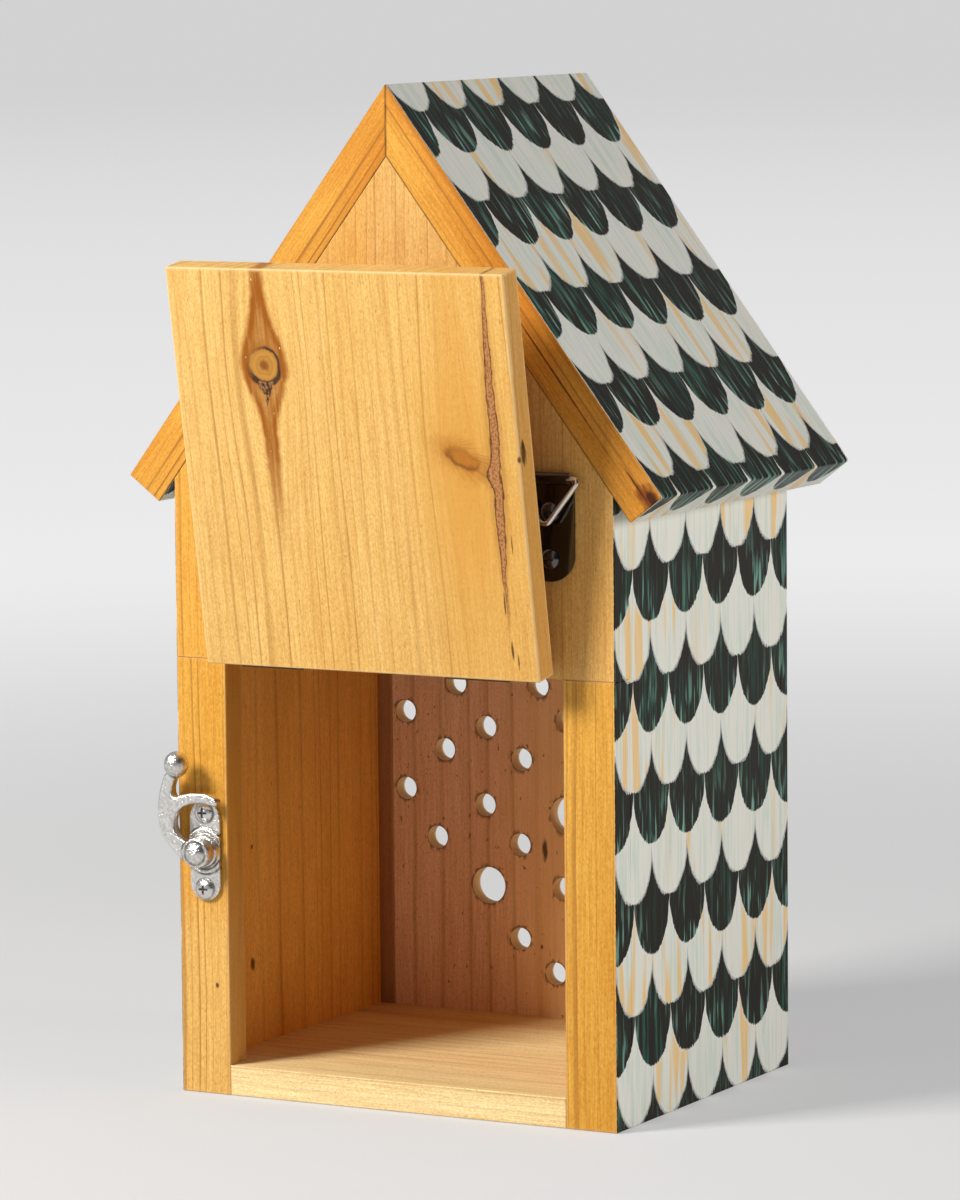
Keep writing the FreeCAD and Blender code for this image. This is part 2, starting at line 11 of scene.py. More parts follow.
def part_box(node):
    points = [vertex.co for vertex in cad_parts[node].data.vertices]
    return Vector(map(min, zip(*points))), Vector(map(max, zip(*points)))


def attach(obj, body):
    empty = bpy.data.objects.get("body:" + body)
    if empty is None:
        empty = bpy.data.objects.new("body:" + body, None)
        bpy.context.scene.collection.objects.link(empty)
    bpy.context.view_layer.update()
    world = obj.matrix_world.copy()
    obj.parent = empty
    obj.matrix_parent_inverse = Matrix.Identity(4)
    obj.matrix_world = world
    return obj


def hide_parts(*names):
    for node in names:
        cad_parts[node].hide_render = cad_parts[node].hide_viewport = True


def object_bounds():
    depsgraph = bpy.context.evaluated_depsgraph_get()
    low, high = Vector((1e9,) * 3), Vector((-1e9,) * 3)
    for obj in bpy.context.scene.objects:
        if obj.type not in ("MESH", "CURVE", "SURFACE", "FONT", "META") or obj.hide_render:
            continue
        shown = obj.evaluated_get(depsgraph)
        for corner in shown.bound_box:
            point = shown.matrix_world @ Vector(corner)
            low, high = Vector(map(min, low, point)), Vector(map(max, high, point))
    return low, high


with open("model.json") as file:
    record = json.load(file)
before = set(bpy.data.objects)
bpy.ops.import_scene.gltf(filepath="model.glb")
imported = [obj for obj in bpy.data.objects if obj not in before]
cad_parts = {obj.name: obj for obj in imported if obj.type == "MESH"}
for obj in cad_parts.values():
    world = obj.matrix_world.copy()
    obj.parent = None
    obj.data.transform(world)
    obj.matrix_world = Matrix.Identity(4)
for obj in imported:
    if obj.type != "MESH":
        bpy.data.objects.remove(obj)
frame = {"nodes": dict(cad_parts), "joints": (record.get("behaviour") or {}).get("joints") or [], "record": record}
cad_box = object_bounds()

bl_info = {
    "name": "Bee Hotel",
    "version": (1, 0, 0),
    "blender": (4, 5, 0),
    "location": "3D View > Sidebar > Bee Hotel",
    "description": "Wood, paint and metal finishes of a gabled bee hotel, with a studio stage",
    "category": "Object",
}

# Patterns are written in millimetres, objects in metres
MM = 1000.0

# Places that the finishes share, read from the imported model
NODES = frame["nodes"]
JOINTS = {joint["name"]: joint for joint in frame["joints"]}
GABLE_LOW, GABLE_HIGH = (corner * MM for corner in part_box("back_gable_panel"))
BACK_Y = GABLE_LOW.y
HALF_WIDTH = GABLE_HIGH.x
FRONT_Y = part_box("front_drilled_panel")[1].y * MM
ROOF_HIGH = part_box("right_roof_board")[1] * MM
HINGE = Vector(JOINTS["door_hinge"]["pos_m"]) * MM
DOOR_SWING = math.radians(JOINTS["door_hinge"]["range_deg"][1])
LATCH = Vector(JOINTS["latch_swing"]["pos_m"]) * MM
BEE_HOLES = [opening["box_m"] for opening in frame["record"]["physics"]["openings"]
             if opening["name"].startswith("bee_hole")]
# The record gives a bee hole as a square box that lies just inside its circle
HOLE_BOX_SHARE = 0.97 * math.sqrt(0.5)

# Door panel in its own axes: across, through and along the grain, from the middle of the hinge line
DOOR_HALF_WIDTH = 68.1
DOOR_HALF_DEPTH = 5.3
DOOR_MIDDLE_DEPTH = 7.2
DOOR_FREE_END = -149.5
DOOR_HINGE_END = -2.3
DOOR_FACE = DOOR_MIDDLE_DEPTH + DOOR_HALF_DEPTH

# Swing hook: where its ball sits from the pivot, how far the arm stands off the back and where the screws are
BALL = LATCH + Vector((-7.2, -8.6, 32.7))
ARM_LIFT = 3.65
PLATE_SCREW_OFFSET = 14.1

# Paint of the walls: how far it wraps round a corner onto bare wood, and how softly it ends
PAINT_WRAP = 0.30
PAINT_FADE = 0.06

# Relief of wood and paint, in metres, and how strongly it shows
GRAIN_DEPTH = 0.00016
GRAIN_STRENGTH = 0.55

# Stains and warm tones of the boards, the pale of their edges from rubbing and painted highlight, and painted
# light on the right of the drilled panel
WORN_AND_HIGHLIT_PALE = (1.0, 0.9, 0.7, 1.0)
AMBER_STAIN = (0.74, 0.335, 0.038, 1.0)
INDOOR_WOOD = (0.90, 0.490, 0.115, 1.0)
INDOOR_STAIN = (0.76, 0.340, 0.052, 1.0)
DUSKY_WOOD = (0.44, 0.215, 0.085, 1.0)
DUSKY_STAIN = (0.35, 0.145, 0.048, 1.0)
FLOOR_STAIN = (0.98, 0.640, 0.300, 1.0)
PANEL_STAIN = (0.80, 0.43, 0.22, 1.0)
PANEL_PAINTED_LIGHT = (1.0, 0.640, 0.285, 1.0)
FRESH_BORE = (1.0, 0.680, 0.300, 1.0)
TORN_RIM = (0.10, 0.035, 0.012, 1.0)
ROOF_STAIN = (0.66, 0.255, 0.028, 1.0)
GLUE_LINE = (0.075, 0.028, 0.010, 1.0)
PIN_TONE = (0.045, 0.018, 0.008, 1.0)

# Paints of the scale rows, as their settings and sockets name them
PAINTS = ("Dark", "Ivory", "Green", "Mint", "Ochre", "Ground")

# Tones of the knot, the branch eye and the bark on the door
PITCH = (0.045, 0.020, 0.012, 1.0)
RING_DARK = (0.05, 0.02, 0.01, 1.0)
HALO_BROWN = (0.42, 0.155, 0.028, 1.0)
FLAME_BROWN = (0.36, 0.108, 0.009, 1.0)
RESIN_GOLD = (0.95, 0.70, 0.33, 1.0)
HEART_RED = (0.20, 0.045, 0.008, 1.0)
CRUMB_BROWN = (0.34, 0.170, 0.070, 1.0)
EYE_GLOW = (0.46, 0.148, 0.012, 1.0)
EYE_RIM = (0.24, 0.080, 0.014, 1.0)
BARK_LIGHT = (0.55, 0.250, 0.090, 1.0)
BARK_EDGE = (0.09, 0.030, 0.012, 1.0)

# Tones of the fittings, of the painted shade in their hollows and screw crosses, and of the unlit side of the
# studio
CREASE_SHADE = (0.055, 0.045, 0.035, 1.0)
CROSS_SHADE = (0.14, 0.13, 0.12, 1.0)
BLACK_NICKEL = (0.16, 0.15, 0.15)
UNLIT_SIDE = (0.02, 0.02, 0.02, 1.0)

# Stage: point that the soft boxes face, gap under the house, sides of the disc and what the camera needs
LIT_POINT = Vector((0.0, 0.0, 0.18))
FLOOR_GAP = 0.0002
FLOOR_SIDES = 96
SENSOR_WIDTH = 36.0
FARTHEST_SEEN = 200.0

# Small dark pin knots of the boards: place and reach
PIN_KNOTS = {
    "left_wall": (((-82.0, -32.7, 41.5), (1.5, 1.9, 2.9)), ((-82.0, -32.0, 85.8), (1.5, 0.8, 1.2))),
    "left_back_stile": (((-74.6, -70.6, 40.5), (0.9, 1.5, 1.1)),),
    "front_drilled_panel": (((-9.6, 64.6, 75.7), (1.2, 1.5, 5.0)), ((-11.2, 64.6, 38.1), (0.7, 1.5, 1.2))),
}

# Dark ticks beside the bark and the knot in the side of the door: place and reach in the door's axes
DOOR_MARKS = (
    ((58.3, DOOR_FACE, -13.6), (0.6, 1.5, 4.4)),
    ((60.4, DOOR_FACE, -9.6), (0.4, 1.5, 3.2)),
    ((56.9, DOOR_FACE, -31.0), (0.35, 1.5, 4.4)),
    ((62.0, DOOR_FACE, -52.0), (0.3, 1.5, 3.6)),
    ((DOOR_HALF_WIDTH, DOOR_FACE, -83.4), (1.0, 1.2, 1.5)),
    ((DOOR_HALF_WIDTH, 9.2, -85.0), (2.0, 2.2, 5.0)),
    ((DOOR_HALF_WIDTH, 9.4, -88.0), (2.0, 1.2, 2.2)),
)

# Knot and streaks at the back end of the right roof board: place, reach and tone in the board's axes
EAVE_MARKS = (
    ((BACK_Y, -4.5, 176.5), (4.0, 4.2, 6.5), (0.20, 0.045, 0.010, 1.0)),
    ((BACK_Y, -3.4, 178.0), (4.0, 1.9, 3.4), (0.05, 0.012, 0.005, 1.0)),
    ((BACK_Y, -5.6, 171.0), (4.0, 0.5, 9.0), (0.08, 0.020, 0.006, 1.0)),
    ((BACK_Y, -7.8, 120.0), (3.0, 0.45, 34.0), (0.13, 0.040, 0.012, 1.0)),
)


def colour_property(name, description, default):
    """Colour that a user may change."""
    return bpy.props.FloatVectorProperty(
        name=name, description=description, subtype="COLOR", size=3, min=0.0, max=1.0, default=default
    )


def length_property(name, description, default):
    """Length in metres that a user may change."""
    return bpy.props.FloatProperty(
        name=name, description=description, unit="LENGTH", min=0.0, default=default
    )


def share_property(name, description, default):
    """Share between nothing and all that a user may change."""
    return bpy.props.FloatProperty(
        name=name, description=description, subtype="FACTOR", min=0.0, max=1.0, default=default
    )


def power_property(name, description, default):
    """Power of a light that a user may change."""
    return bpy.props.FloatProperty(name=name, description=description, unit="POWER", default=default)


def angle_property(name, description, degrees):
    """Angle that a user may change."""
    return bpy.props.FloatProperty(
        name=name, description=description, subtype="ANGLE", default=math.radians(degrees)
    )


class BeeHotelWood(bpy.types.PropertyGroup):
    """Colours and figure of the bare wood."""

    pale: colour_property("Pale wood", "Early wood of the honey-coloured boards", (0.87, 0.530, 0.165))
    amber: colour_property("Amber wood", "Early wood of the deeper-coloured boards", (0.80, 0.410, 0.068))
    late: colour_property("Late wood", "Thin dark lines of the year rings", (0.36, 0.130, 0.022))
    tint: colour_property("Warm tint", "Broad warm stains in the boards", (0.80, 0.400, 0.070))
    inner: colour_property("Inner panel", "Redder wood of the drilled panel", (0.97, 0.640, 0.410))
    gable: colour_property("Gable wood", "Early wood of the gable panel", (0.78, 0.455, 0.140))
    floor: colour_property("Floor wood", "Early wood of the floor board", (1.0, 0.760, 0.375))
    knot: colour_property("Knot", "Face of a sound knot", (0.57, 0.270, 0.050))
    bark: colour_property("Bark", "Inner bark that runs down the door", (0.330, 0.122, 0.040))
    ring_spacing: length_property("Ring spacing", "Distance between two year rings", 0.0062)
    roughness: share_property("Roughness", "Roughness of the clear satin finish", 0.46)


class BeeHotelPaint(bpy.types.PropertyGroup):
    """Colours and sizes of the painted scale rows."""

    dark: colour_property("Dark scales", "Brushed dark paint", (0.0135, 0.0105, 0.0055))
    ivory: colour_property("Ivory scales", "Brushed pale paint", (0.80, 0.775, 0.685))
    green: colour_property("Green strokes", "Green that shows in the dark strokes", (0.016, 0.105, 0.070))
    mint: colour_property("Mint strokes", "Pale green at the ends of the dark strokes", (0.26, 0.55, 0.42))
    ochre: colour_property("Ochre strokes", "Ochre that shows in the pale strokes", (0.90, 0.53, 0.14))
    ground: colour_property("Ground coat", "White coat at the edges of the paint", (0.82, 0.80, 0.74))
    scale_width: length_property("Scale width", "Width of one painted scale", 0.02824)
    row_height: length_property("Row height", "Height of one row of scales", 0.0200)
    roof_pitch: angle_property("Roof pitch", "Slope of the roof boards", 52.75)


class BeeHotelMetal(bpy.types.PropertyGroup):
    """Finishes of the fittings."""

    nickel: colour_property("Nickel", "Bright plated casting of the latch", (0.91, 0.90, 0.87))
    black: colour_property("Black steel", "Gloss black of the strap hangers", (0.006, 0.004, 0.0035))
    wire: colour_property("Ring wire", "Bright wire of the hanging rings", (0.86, 0.83, 0.78))
    brass: colour_property("Brass", "Darkened brass of the hinges", (0.115, 0.068, 0.028))
    casting_grain: length_property("Casting grain", "Voxel of the softened castings", 0.00032)


class BeeHotelStage(bpy.types.PropertyGroup):
    """Floor, light and camera."""

    ground: colour_property("Floor", "Pale plain floor", (0.42, 0.42, 0.42))
    bounce: share_property("Bounce", "Share of the floor's glow that lights the house", 0.50)
    mirrored: share_property("Mirrored", "Brightness of the studio in polished metal", 0.36)
    near_glow: share_property("Near glow", "Brightness added to the floor beside the house", 0.35)
    middle_glow: share_property("Middle glow", "Brightness added to the floor behind the house", 0.72)
    far_glow: share_property("Far glow", "Brightness added to the floor far away", 0.58)
    floor_radius: length_property("Floor radius", "Radius of the floor", 60.0)
    sky: colour_property("Sky", "Even light from all round", (0.155, 0.155, 0.17))
    backdrop: colour_property("Backdrop", "What is seen above the far edge of the floor", (0.65, 0.65, 0.65))
    key_power: power_property("Key power", "Soft box at the left", 32.0)
    key_size: length_property("Key size", "Side of the soft box at the left", 0.50)
    key_turn: angle_property("Key turn", "Angle of the left soft box from the back face", -35.0)
    key_rise: angle_property("Key rise", "Angle of the left soft box above level", 34.0)
    key_away: length_property("Key distance", "From the house to the left soft box", 1.7)
    key_colour: colour_property("Key colour", "Colour of the left soft box", (1.0, 0.975, 0.93))
    fill_power: power_property("Fill power", "Soft box at the right", 12.5)
    fill_size: length_property("Fill size", "Side of the soft box at the right", 0.8)
    fill_turn: angle_property("Fill turn", "Angle of the right soft box from the back face", 92.0)
    fill_rise: angle_property("Fill rise", "Angle of the right soft box above level", 11.0)
    fill_away: length_property("Fill distance", "From the house to the right soft box", 1.6)
    fill_colour: colour_property("Fill colour", "Colour of the right soft box", (1.0, 1.0, 1.0))
    camera_place: bpy.props.FloatVectorProperty(
        name="Camera place", description="Where the camera stands", subtype="TRANSLATION", unit="LENGTH",
        size=3, default=(1.0255, -1.8967, 0.4271),
    )
    camera_turn: angle_property("Camera turn", "Angle to the right of the back face", 28.441)
    camera_dip: angle_property("Camera dip", "Angle below level", 6.567)
    camera_roll: angle_property("Camera roll", "Turn about the line of sight", -0.518)
    camera_lens: bpy.props.FloatProperty(
        name="Camera lens", description="Focal length", unit="CAMERA", default=176.53
    )


def rgba(colour):
    """Colour of three parts as a socket value."""
    return (*colour, 1.0)


class Value:
    """Result of a node, for use in formulas: each sign or call adds a node to the same tree."""

    def __init__(self, wire, socket):
        self.wire = wire
        self.socket = socket

    def __add__(self, other):
        """Sum with a value or number."""
        return self.wire.math("ADD", self, other)

    def __sub__(self, other):
        """This less a value or number."""
        return self.wire.math("SUBTRACT", self, other)

    def __rsub__(self, other):
        """A number less this."""
        return self.wire.math("SUBTRACT", other, self)

    def __mul__(self, other):
        """Product with a value or number."""
        return self.wire.math("MULTIPLY", self, other)

    def __truediv__(self, other):
        """This divided by a value or number."""
        return self.wire.math("DIVIDE", self, other)

    def __abs__(self):
        """Size without its sign."""
        return self.wire.math("ABSOLUTE", self)

    def bell(self):
        """Bell curve, one at zero."""
        return self.wire.math("POWER", math.e, self * self * -1.0)

    def rise(self, start, end):
        """Smooth rise from nothing at the start to one at the end."""
        inputs = {"Value": self, "From Min": start, "From Max": end}
        return self.wire.value("MapRange", inputs, interpolation_type="SMOOTHSTEP")

    def fall(self, start, end):
        """Smooth fall from one at the start to nothing at the end."""
        return 1.0 - self.rise(start, end)

    def spread(self, low, high):
        """A value from nothing to one, spread between two others."""
        return self.wire.value("MapRange", {"Value": self, "To Min": low, "To Max": high})

    def parts(self):
        """The three parts of a vector."""
        sockets = self.wire.node("SeparateXYZ", {0: self}).outputs
        return [Value(self.wire, socket) for socket in sockets]

    def along(self, direction):
        """How far a vector reaches in a direction."""
        return self.wire.value("VectorMath", enumerate((self, direction)), "Value", operation="DOT_PRODUCT")

    def away(self, place):
        """Distance of a point from a place."""
        return self.wire.value("VectorMath", enumerate((self, place)), "Value", operation="DISTANCE")

    def noise(self, stretch, detail=2.0):
        """Noise of a point whose axes are stretched."""
        point = self.wire.vector("MULTIPLY", self, stretch)
        return self.wire.value("TexNoise", {"Vector": point, "Scale": 1.0, "Detail": detail})

    def chance(self):
        """One random value for a whole cell of points."""
        return self.wire.value("TexWhiteNoise", {"Vector": self}, "Value", noise_dimensions="3D")


class Wiring:
    """Adds nodes to one tree and joins them."""

    def __init__(self, tree):
        self.tree = tree

    def feed(self, sockets, values):
        """Join each named socket to a value, or set it to a number or colour."""
        for name, value in values.items():
            if isinstance(value, Value):
                self.tree.links.new(value.socket, sockets[name])
            else:
                sockets[name].default_value = value

    def node(self, kind, inputs, **settings):
        """One node with its settings made and its inputs fed."""
        made = self.tree.nodes.new("ShaderNode" + kind)
        for name, value in settings.items():
            setattr(made, name, value)
        self.feed(made.inputs, dict(inputs))
        return made

    def value(self, kind, inputs, output=0, **settings):
        """One output of a new node."""
        return Value(self, self.node(kind, inputs, **settings).outputs[output])

    def math(self, operation, *values):
        """Result of a Math node."""
        return self.value("Math", enumerate(values), operation=operation)

    def hypot(self, first, second):
        """Length of the slope over two square lengths."""
        return self.math("SQRT", first * first + second * second)

    def combine(self, *parts):
        """Vector of three parts."""
        return self.value("CombineXYZ", enumerate(parts))

    def vector(self, operation, *vectors):
        """Vector result of a Vector Math node."""
        return self.value("VectorMath", enumerate(vectors), "Vector", operation=operation)

    def mix(self, share, first, second, blend="MIX"):
        """Two colours mixed by a share."""
        return self.value("Mix", {0: share, 6: first, 7: second}, 2, data_type="RGBA", blend_type=blend)

    def shade(self, colour, value, powers=(1.0, 1.0, 1.0)):
        """A colour made lighter or darker by a value, which may count more in one part of it than another."""
        parts = (value if power == 1.0 else self.math("POWER", value, power) for power in powers)
        return self.mix(1.0, colour, self.combine(*parts), "MULTIPLY")

    def wood_shade(self, colour, value):
        """A colour made lighter or darker by a value, with redder dark parts, as in wood."""
        return self.shade(colour, value, (0.6, 1.0, 1.5))

    def group(self, tree, inputs):
        """Outputs of a node group placed with its own values."""
        made = self.node("Group", {}, node_tree=tree)
        self.feed(made.inputs, inputs)
        return {socket.name: Value(self, socket) for socket in made.outputs}

    def object_point(self):
        """Place on the piece in millimetres."""
        return self.vector("MULTIPLY", self.value("TexCoord", {}, "Object"), (MM, MM, MM))

    def bump(self, shader, height, depth, strength):
        """Height in the normal of a shader, with its depth in metres."""
        made = self.value("Bump", {"Height": height, "Distance": depth, "Strength": strength})
        self.feed(shader, {"Normal": made})


def made_once(build):
    """A node group that is built at the first call and shared from then on."""
    def shared():
        """The group of that name."""
        return bpy.data.node_groups.get(build.__name__) or build(build.__name__)
    return shared


def new_group(name, inputs, outputs):
    """What is needed to wire a new node group, and its inputs, each asked for by its kind or a number."""
    tree = bpy.data.node_groups.new(name, "ShaderNodeTree")
    for label, asked in inputs.items():
        kind = asked if isinstance(asked, str) else "Float"
        socket = tree.interface.new_socket(label, in_out="INPUT", socket_type="NodeSocket" + kind)
        if kind == "Float":
            socket.default_value = asked
    for label, kind in outputs.items():
        tree.interface.new_socket(label, in_out="OUTPUT", socket_type="NodeSocket" + kind)
    wire = Wiring(tree)
    inlet = tree.nodes.new("NodeGroupInput")
    given = {label: Value(wire, inlet.outputs[label]) for label in inputs}
    return wire, given


def close_group(wire, results):
    """Join the results of a group to its outputs."""
    wire.feed(wire.tree.nodes.new("NodeGroupOutput").inputs, results)
    return wire.tree


@made_once
def board_grain(name):
    """Year rings, fibres, flecks and stains of a sawn board, from a point with its grain along Z."""
    inputs = {
        "Board Point": "Vector", "Pale Colour": "Color", "Late Colour": "Color", "Tint Colour": "Color",
        "Ring Spacing": 6.0, "Pith Aside": 60.0, "Pith Below": 90.0, "Wander": 9.0, "Line Strength": 0.62,
        "Tint Amount": 0.5, "Seed": 0.0,
    }
    wire, given = new_group(name, inputs, {"Colour": "Color", "Height": "Float"})
    point = given["Board Point"]
    seed = given["Seed"]
    moved = wire.vector("ADD", point, wire.combine(seed * 137.0, seed, seed * 411.0))
    x, y, _ = point.parts()

    # Distance from the pith, which wanders along the trunk, counted in rings of uneven width
    wander = moved.noise((0.022, 0.022, 0.0042)) - 0.5
    aside = x + given["Pith Aside"] + wander * given["Wander"]
    below = y + given["Pith Below"]
    count = wire.hypot(aside, below) / given["Ring Spacing"]
    count = count + wire.combine(count, seed, 0.0).noise((0.55, 1.0, 1.0), 1.0) * 2.4
    part = wire.math("FRACT", count)
    luck = wire.combine(wire.math("FLOOR", count), seed, 1.0).chance()
    soft = part.rise(0.30, 0.95) * part.fall(0.95, 1.0)
    crisp = part.rise(0.72, 0.90) * part.fall(0.90, 1.0)
    broken = moved.noise((0.35, 0.35, 0.012)).rise(0.25, 0.60)
    crisp = crisp * broken.spread(0.45, 1.0) * luck.spread(0.20, 1.0)
    line = crisp * 0.80 + soft * luck * 0.16

    fibre = moved.noise((1.6, 1.6, 0.05), 3.0)
    speckle = moved.noise((1.9, 1.9, 0.9))
    flecks = moved.noise((1.5, 1.5, 0.40), 1.0).rise(0.66, 0.80)
    stain = moved.noise((0.030, 0.030, 0.0065)).rise(0.38, 0.68)
    bands = moved.noise((0.19, 0.19, 0.006), 1.0)

    colour = wire.mix(stain * given["Tint Amount"], given["Pale Colour"], given["Tint Colour"])
    shade = fibre.spread(0.62, 1.36) * bands.spread(0.86, 1.15) * speckle.spread(0.60, 1.38)
    colour = wire.wood_shade(colour, shade)
    colour = wire.mix(line * given["Line Strength"], colour, given["Late Colour"])
    colour = wire.mix(flecks * 0.45, colour, given["Late Colour"])
    height = fibre * 0.8 - (line * 0.3 + flecks * 0.5)
    return close_group(wire, {"Colour": colour, "Height": height})


@made_once
def knot_figure(name):
    """A knot: the point bent so that grain parts round it, and masks of its parts and of its flame."""
    inputs = {"Board Point": "Vector", "Aside": 0.0, "Along": 0.0, "Radius": 6.0, "Reach": 50.0}
    masks = ("Face", "Rim", "Halo", "Flame", "Rings", "Heart", "Pitch")
    wire, given = new_group(name, inputs, {"Bent Point": "Vector", **dict.fromkeys(masks, "Float")})
    point = given["Board Point"]
    radius = given["Radius"]
    reach = given["Reach"]
    ripple = (point.noise((0.35, 0.35, 0.22)) - 0.5) * 0.30
    x, _, z = point.parts()
    dx = (x - given["Aside"]) / radius
    dz = (z - given["Along"]) / radius
    near = (wire.hypot(dx, dz * 0.30) * 0.55).bell()
    push = dx * near * radius * -0.80
    bent = wire.vector("ADD", point, wire.combine(push, 0.0, 0.0))

    far = wire.hypot(dx, dz) + ripple
    rim_end = dz.rise(-0.3, 1.0) * 0.16 + 0.96
    rim = far.rise(0.80, 0.92) * far.fall(rim_end, rim_end + 0.16)
    rim = rim * (dx + dz * 0.6).rise(-1.1, -0.2).spread(0.25, 1.0)
    rays = wire.combine(wire.math("ARCTAN2", dz, dx), 0.0, 0.0).noise((1.6, 1.0, 1.0))
    heart = far.fall(0.08, rays.spread(0.15, 0.85))
    halo = ((far - 1.10) / 0.34).bell() * dx.rise(1.0, -1.0).spread(0.35, 1.0)
    turns = wire.math("FRACT", far * 3.4)
    rings = turns.rise(0.30, 0.90) * turns.fall(0.9, 1.0)

    # Two strands of flame part round the knot and close to a thread up and down the grain
    height = abs(dz)
    strand_place = (height * 0.42).bell() * 1.05 + 0.16
    leaning = abs(dx + ripple * 0.9)
    strand = ((leaning - strand_place) / 0.24).bell()
    between = leaning.fall(strand_place, strand_place + 0.45)
    flame = (strand * 0.38 + between * 0.78) * point.noise((1.0, 1.0, 0.04)).spread(0.45, 1.45)
    flame = flame * (height * radius).fall(reach * 0.30, reach) * far.rise(0.70, 1.0)

    # A crumbly pocket of pitch narrows to a point on one side of the knot
    pocket = (2.15 - dz) * 0.46 + ripple * 1.4
    inside = leaning.fall(pocket * 0.75, wire.math("MAXIMUM", pocket, 0.02))
    pitch = inside * dz.rise(0.70, 0.95) * far.rise(0.85, 0.95)
    results = (far.fall(0.80, 0.90), rim, halo, flame, rings, heart, pitch)
    return close_group(wire, {"Bent Point": bent, **dict(zip(masks, results))})


@made_once
def painted_scales(name):
    """Rows of hand-painted scales, dark and ivory in turn, from a point across and down the face."""
    inputs = {"Paint Point": "Vector", "Scale Width": 28.0, "Row Height": 20.0}
    for label in PAINTS:
        inputs[label + " Colour"] = "Color"
    outputs = {"Colour": "Color", "Height": "Float", "Roughness": "Float"}
    wire, given = new_group(name, inputs, outputs)
    point = given["Paint Point"]
    across, down, side = point.parts()
    wobble = (point.noise((0.075, 0.075, 1.0), 3.0) - 0.5) * 3.4
    bristle = (point.noise((1.3, 0.10, 1.0)) - 0.5) * 2.6
    row_place = (down + (wobble + bristle)) / given["Row Height"]
    row = wire.math("FLOOR", row_place)
    into_row = row_place - row
    odd = wire.math("FLOORED_MODULO", row, 2.0)
    columns = (across + wobble) / given["Scale Width"]
    from_middle = wire.math("FRACT", columns + odd * 0.5) - 0.5
    reach = wire.hypot(from_middle * 2.0, into_row)

    # Below the rim of a scale shows the scale of the next row, half a width to the side
    under = reach.rise(0.985, 1.015)
    below = wire.math("GREATER_THAN", reach, 1.0)
    own_row = row + below
    own_odd = wire.math("FLOORED_MODULO", own_row, 2.0)
    own_column = wire.math("FLOOR", columns + own_odd * 0.5)
    luck = wire.combine(own_column, own_row, side).chance()
    luck_two = wire.combine(own_row, own_column, side + 7.0).chance()
    ivory = abs(odd - under)

    # Brush strokes run down each scale and differ from scale to scale
    stroke_point = wire.combine(across, down, luck * 90.0)
    broad = stroke_point.noise((0.20, 0.016, 1.0), 0.5)
    fine = stroke_point.noise((0.62, 0.028, 1.0))
    hair = stroke_point.noise((2.6, 0.05, 1.0), 1.0)
    comet = stroke_point.noise((0.45, 0.055, 1.0), 1.0)
    loaded = (into_row - below).rise(-0.2, 1.0)

    green = fine.rise(0.50, 0.68) * luck.spread(0.0, 0.85)
    dark = wire.mix(green, given["Dark Colour"], given["Green Colour"])
    dry = comet.rise(0.55, 0.69) * loaded.spread(0.20, 1.0)
    dry = dry * hair.rise(0.25, 0.55) * luck_two.spread(0.40, 1.0)
    dark = wire.mix(dry, dark, given["Mint Colour"])

    cool = wire.mix(0.42, given["Ivory Colour"], given["Mint Colour"])
    pale = wire.mix(fine.rise(0.46, 0.66) * 0.75, given["Ivory Colour"], cool)
    warm = broad.rise(0.52, 0.64) * luck.rise(0.30, 0.60) * fine.spread(0.55, 1.25)
    pale = wire.mix(warm * 0.80, pale, given["Ochre Colour"])
    scratch = wire.mix(0.5, given["Ochre Colour"], given["Dark Colour"])
    pale = wire.mix(hair.fall(0.24, 0.33) * 0.22, pale, scratch)

    rim = abs(reach - 1.02).fall(0.010, 0.040) * hair.spread(0.35, 1.0)
    colour = wire.mix(rim * 0.80, wire.mix(ivory, dark, pale), given["Ground Colour"])
    height = fine * 0.6 + hair * 0.5 + ivory * 0.4
    return close_group(wire, {"Colour": colour, "Height": height, "Roughness": fine.spread(0.14, 0.36)})


@made_once
def edge_wear(name):
    """Mask of the paler edges of a box-shaped board, from rubbing and painted highlight, from a point and the
    box's middle and half size.
    """
    inputs = {"Board Point": "Vector", "Middle": "Vector", "Half Size": "Vector", "Width": 1.4}
    wire, given = new_group(name, inputs, {"Wear": "Float"})
    point = given["Board Point"]
    offset = wire.vector("ABSOLUTE", wire.vector("SUBTRACT", point, given["Middle"]))
    a, b, c = wire.vector("SUBTRACT", given["Half Size"], offset).parts()
    least = wire.math("MINIMUM", wire.math("MINIMUM", a, b), c)
    most = wire.math("MAXIMUM", wire.math("MAXIMUM", a, b), c)
    second = a + b + c - least - most
    width = given["Width"] * point.noise((0.30, 0.30, 0.12), 3.0).spread(0.2, 1.8)
    return close_group(wire, {"Wear": second.fall(0.0, width)})


@made_once
def cast_skin(name):
    """Fine unevenness of a metal skin: a height, a roughness and a shade."""
    inputs = {"Point": "Vector", "Grain": 1.0, "Smooth": 0.12, "Dull": 0.34}
    wire, given = new_group(name, inputs, dict.fromkeys(("Height", "Roughness", "Shade"), "Float"))
    fineness = given["Grain"]
    smooth = given["Smooth"]
    grained = wire.vector("MULTIPLY", given["Point"], wire.combine(fineness, fineness, fineness))
    lumps = grained.noise((0.55, 0.55, 0.55))
    pits = grained.noise((3.2, 3.2, 3.2))
    height = lumps + pits.rise(0.35, 0.6) * 0.25
    rough = smooth + pits.rise(0.35, 0.70) * (given["Dull"] - smooth)
    return close_group(wire, {"Height": height, "Roughness": rough, "Shade": lumps.spread(0.86, 1.10)})


def new_material(name):
    """Material, what is needed to wire it, and the sockets of its Principled shader."""
    material = bpy.data.materials.new(name)
    material.use_nodes = True
    tree = material.node_tree
    return material, Wiring(tree), tree.nodes["Principled BSDF"].inputs


def give(material, *names):
    """Give a material to CAD nodes or to pieces of the scene."""
    for name in names:
        piece = NODES.get(name) or bpy.data.objects[name]
        piece.data.materials.clear()
        piece.data.materials.append(material)


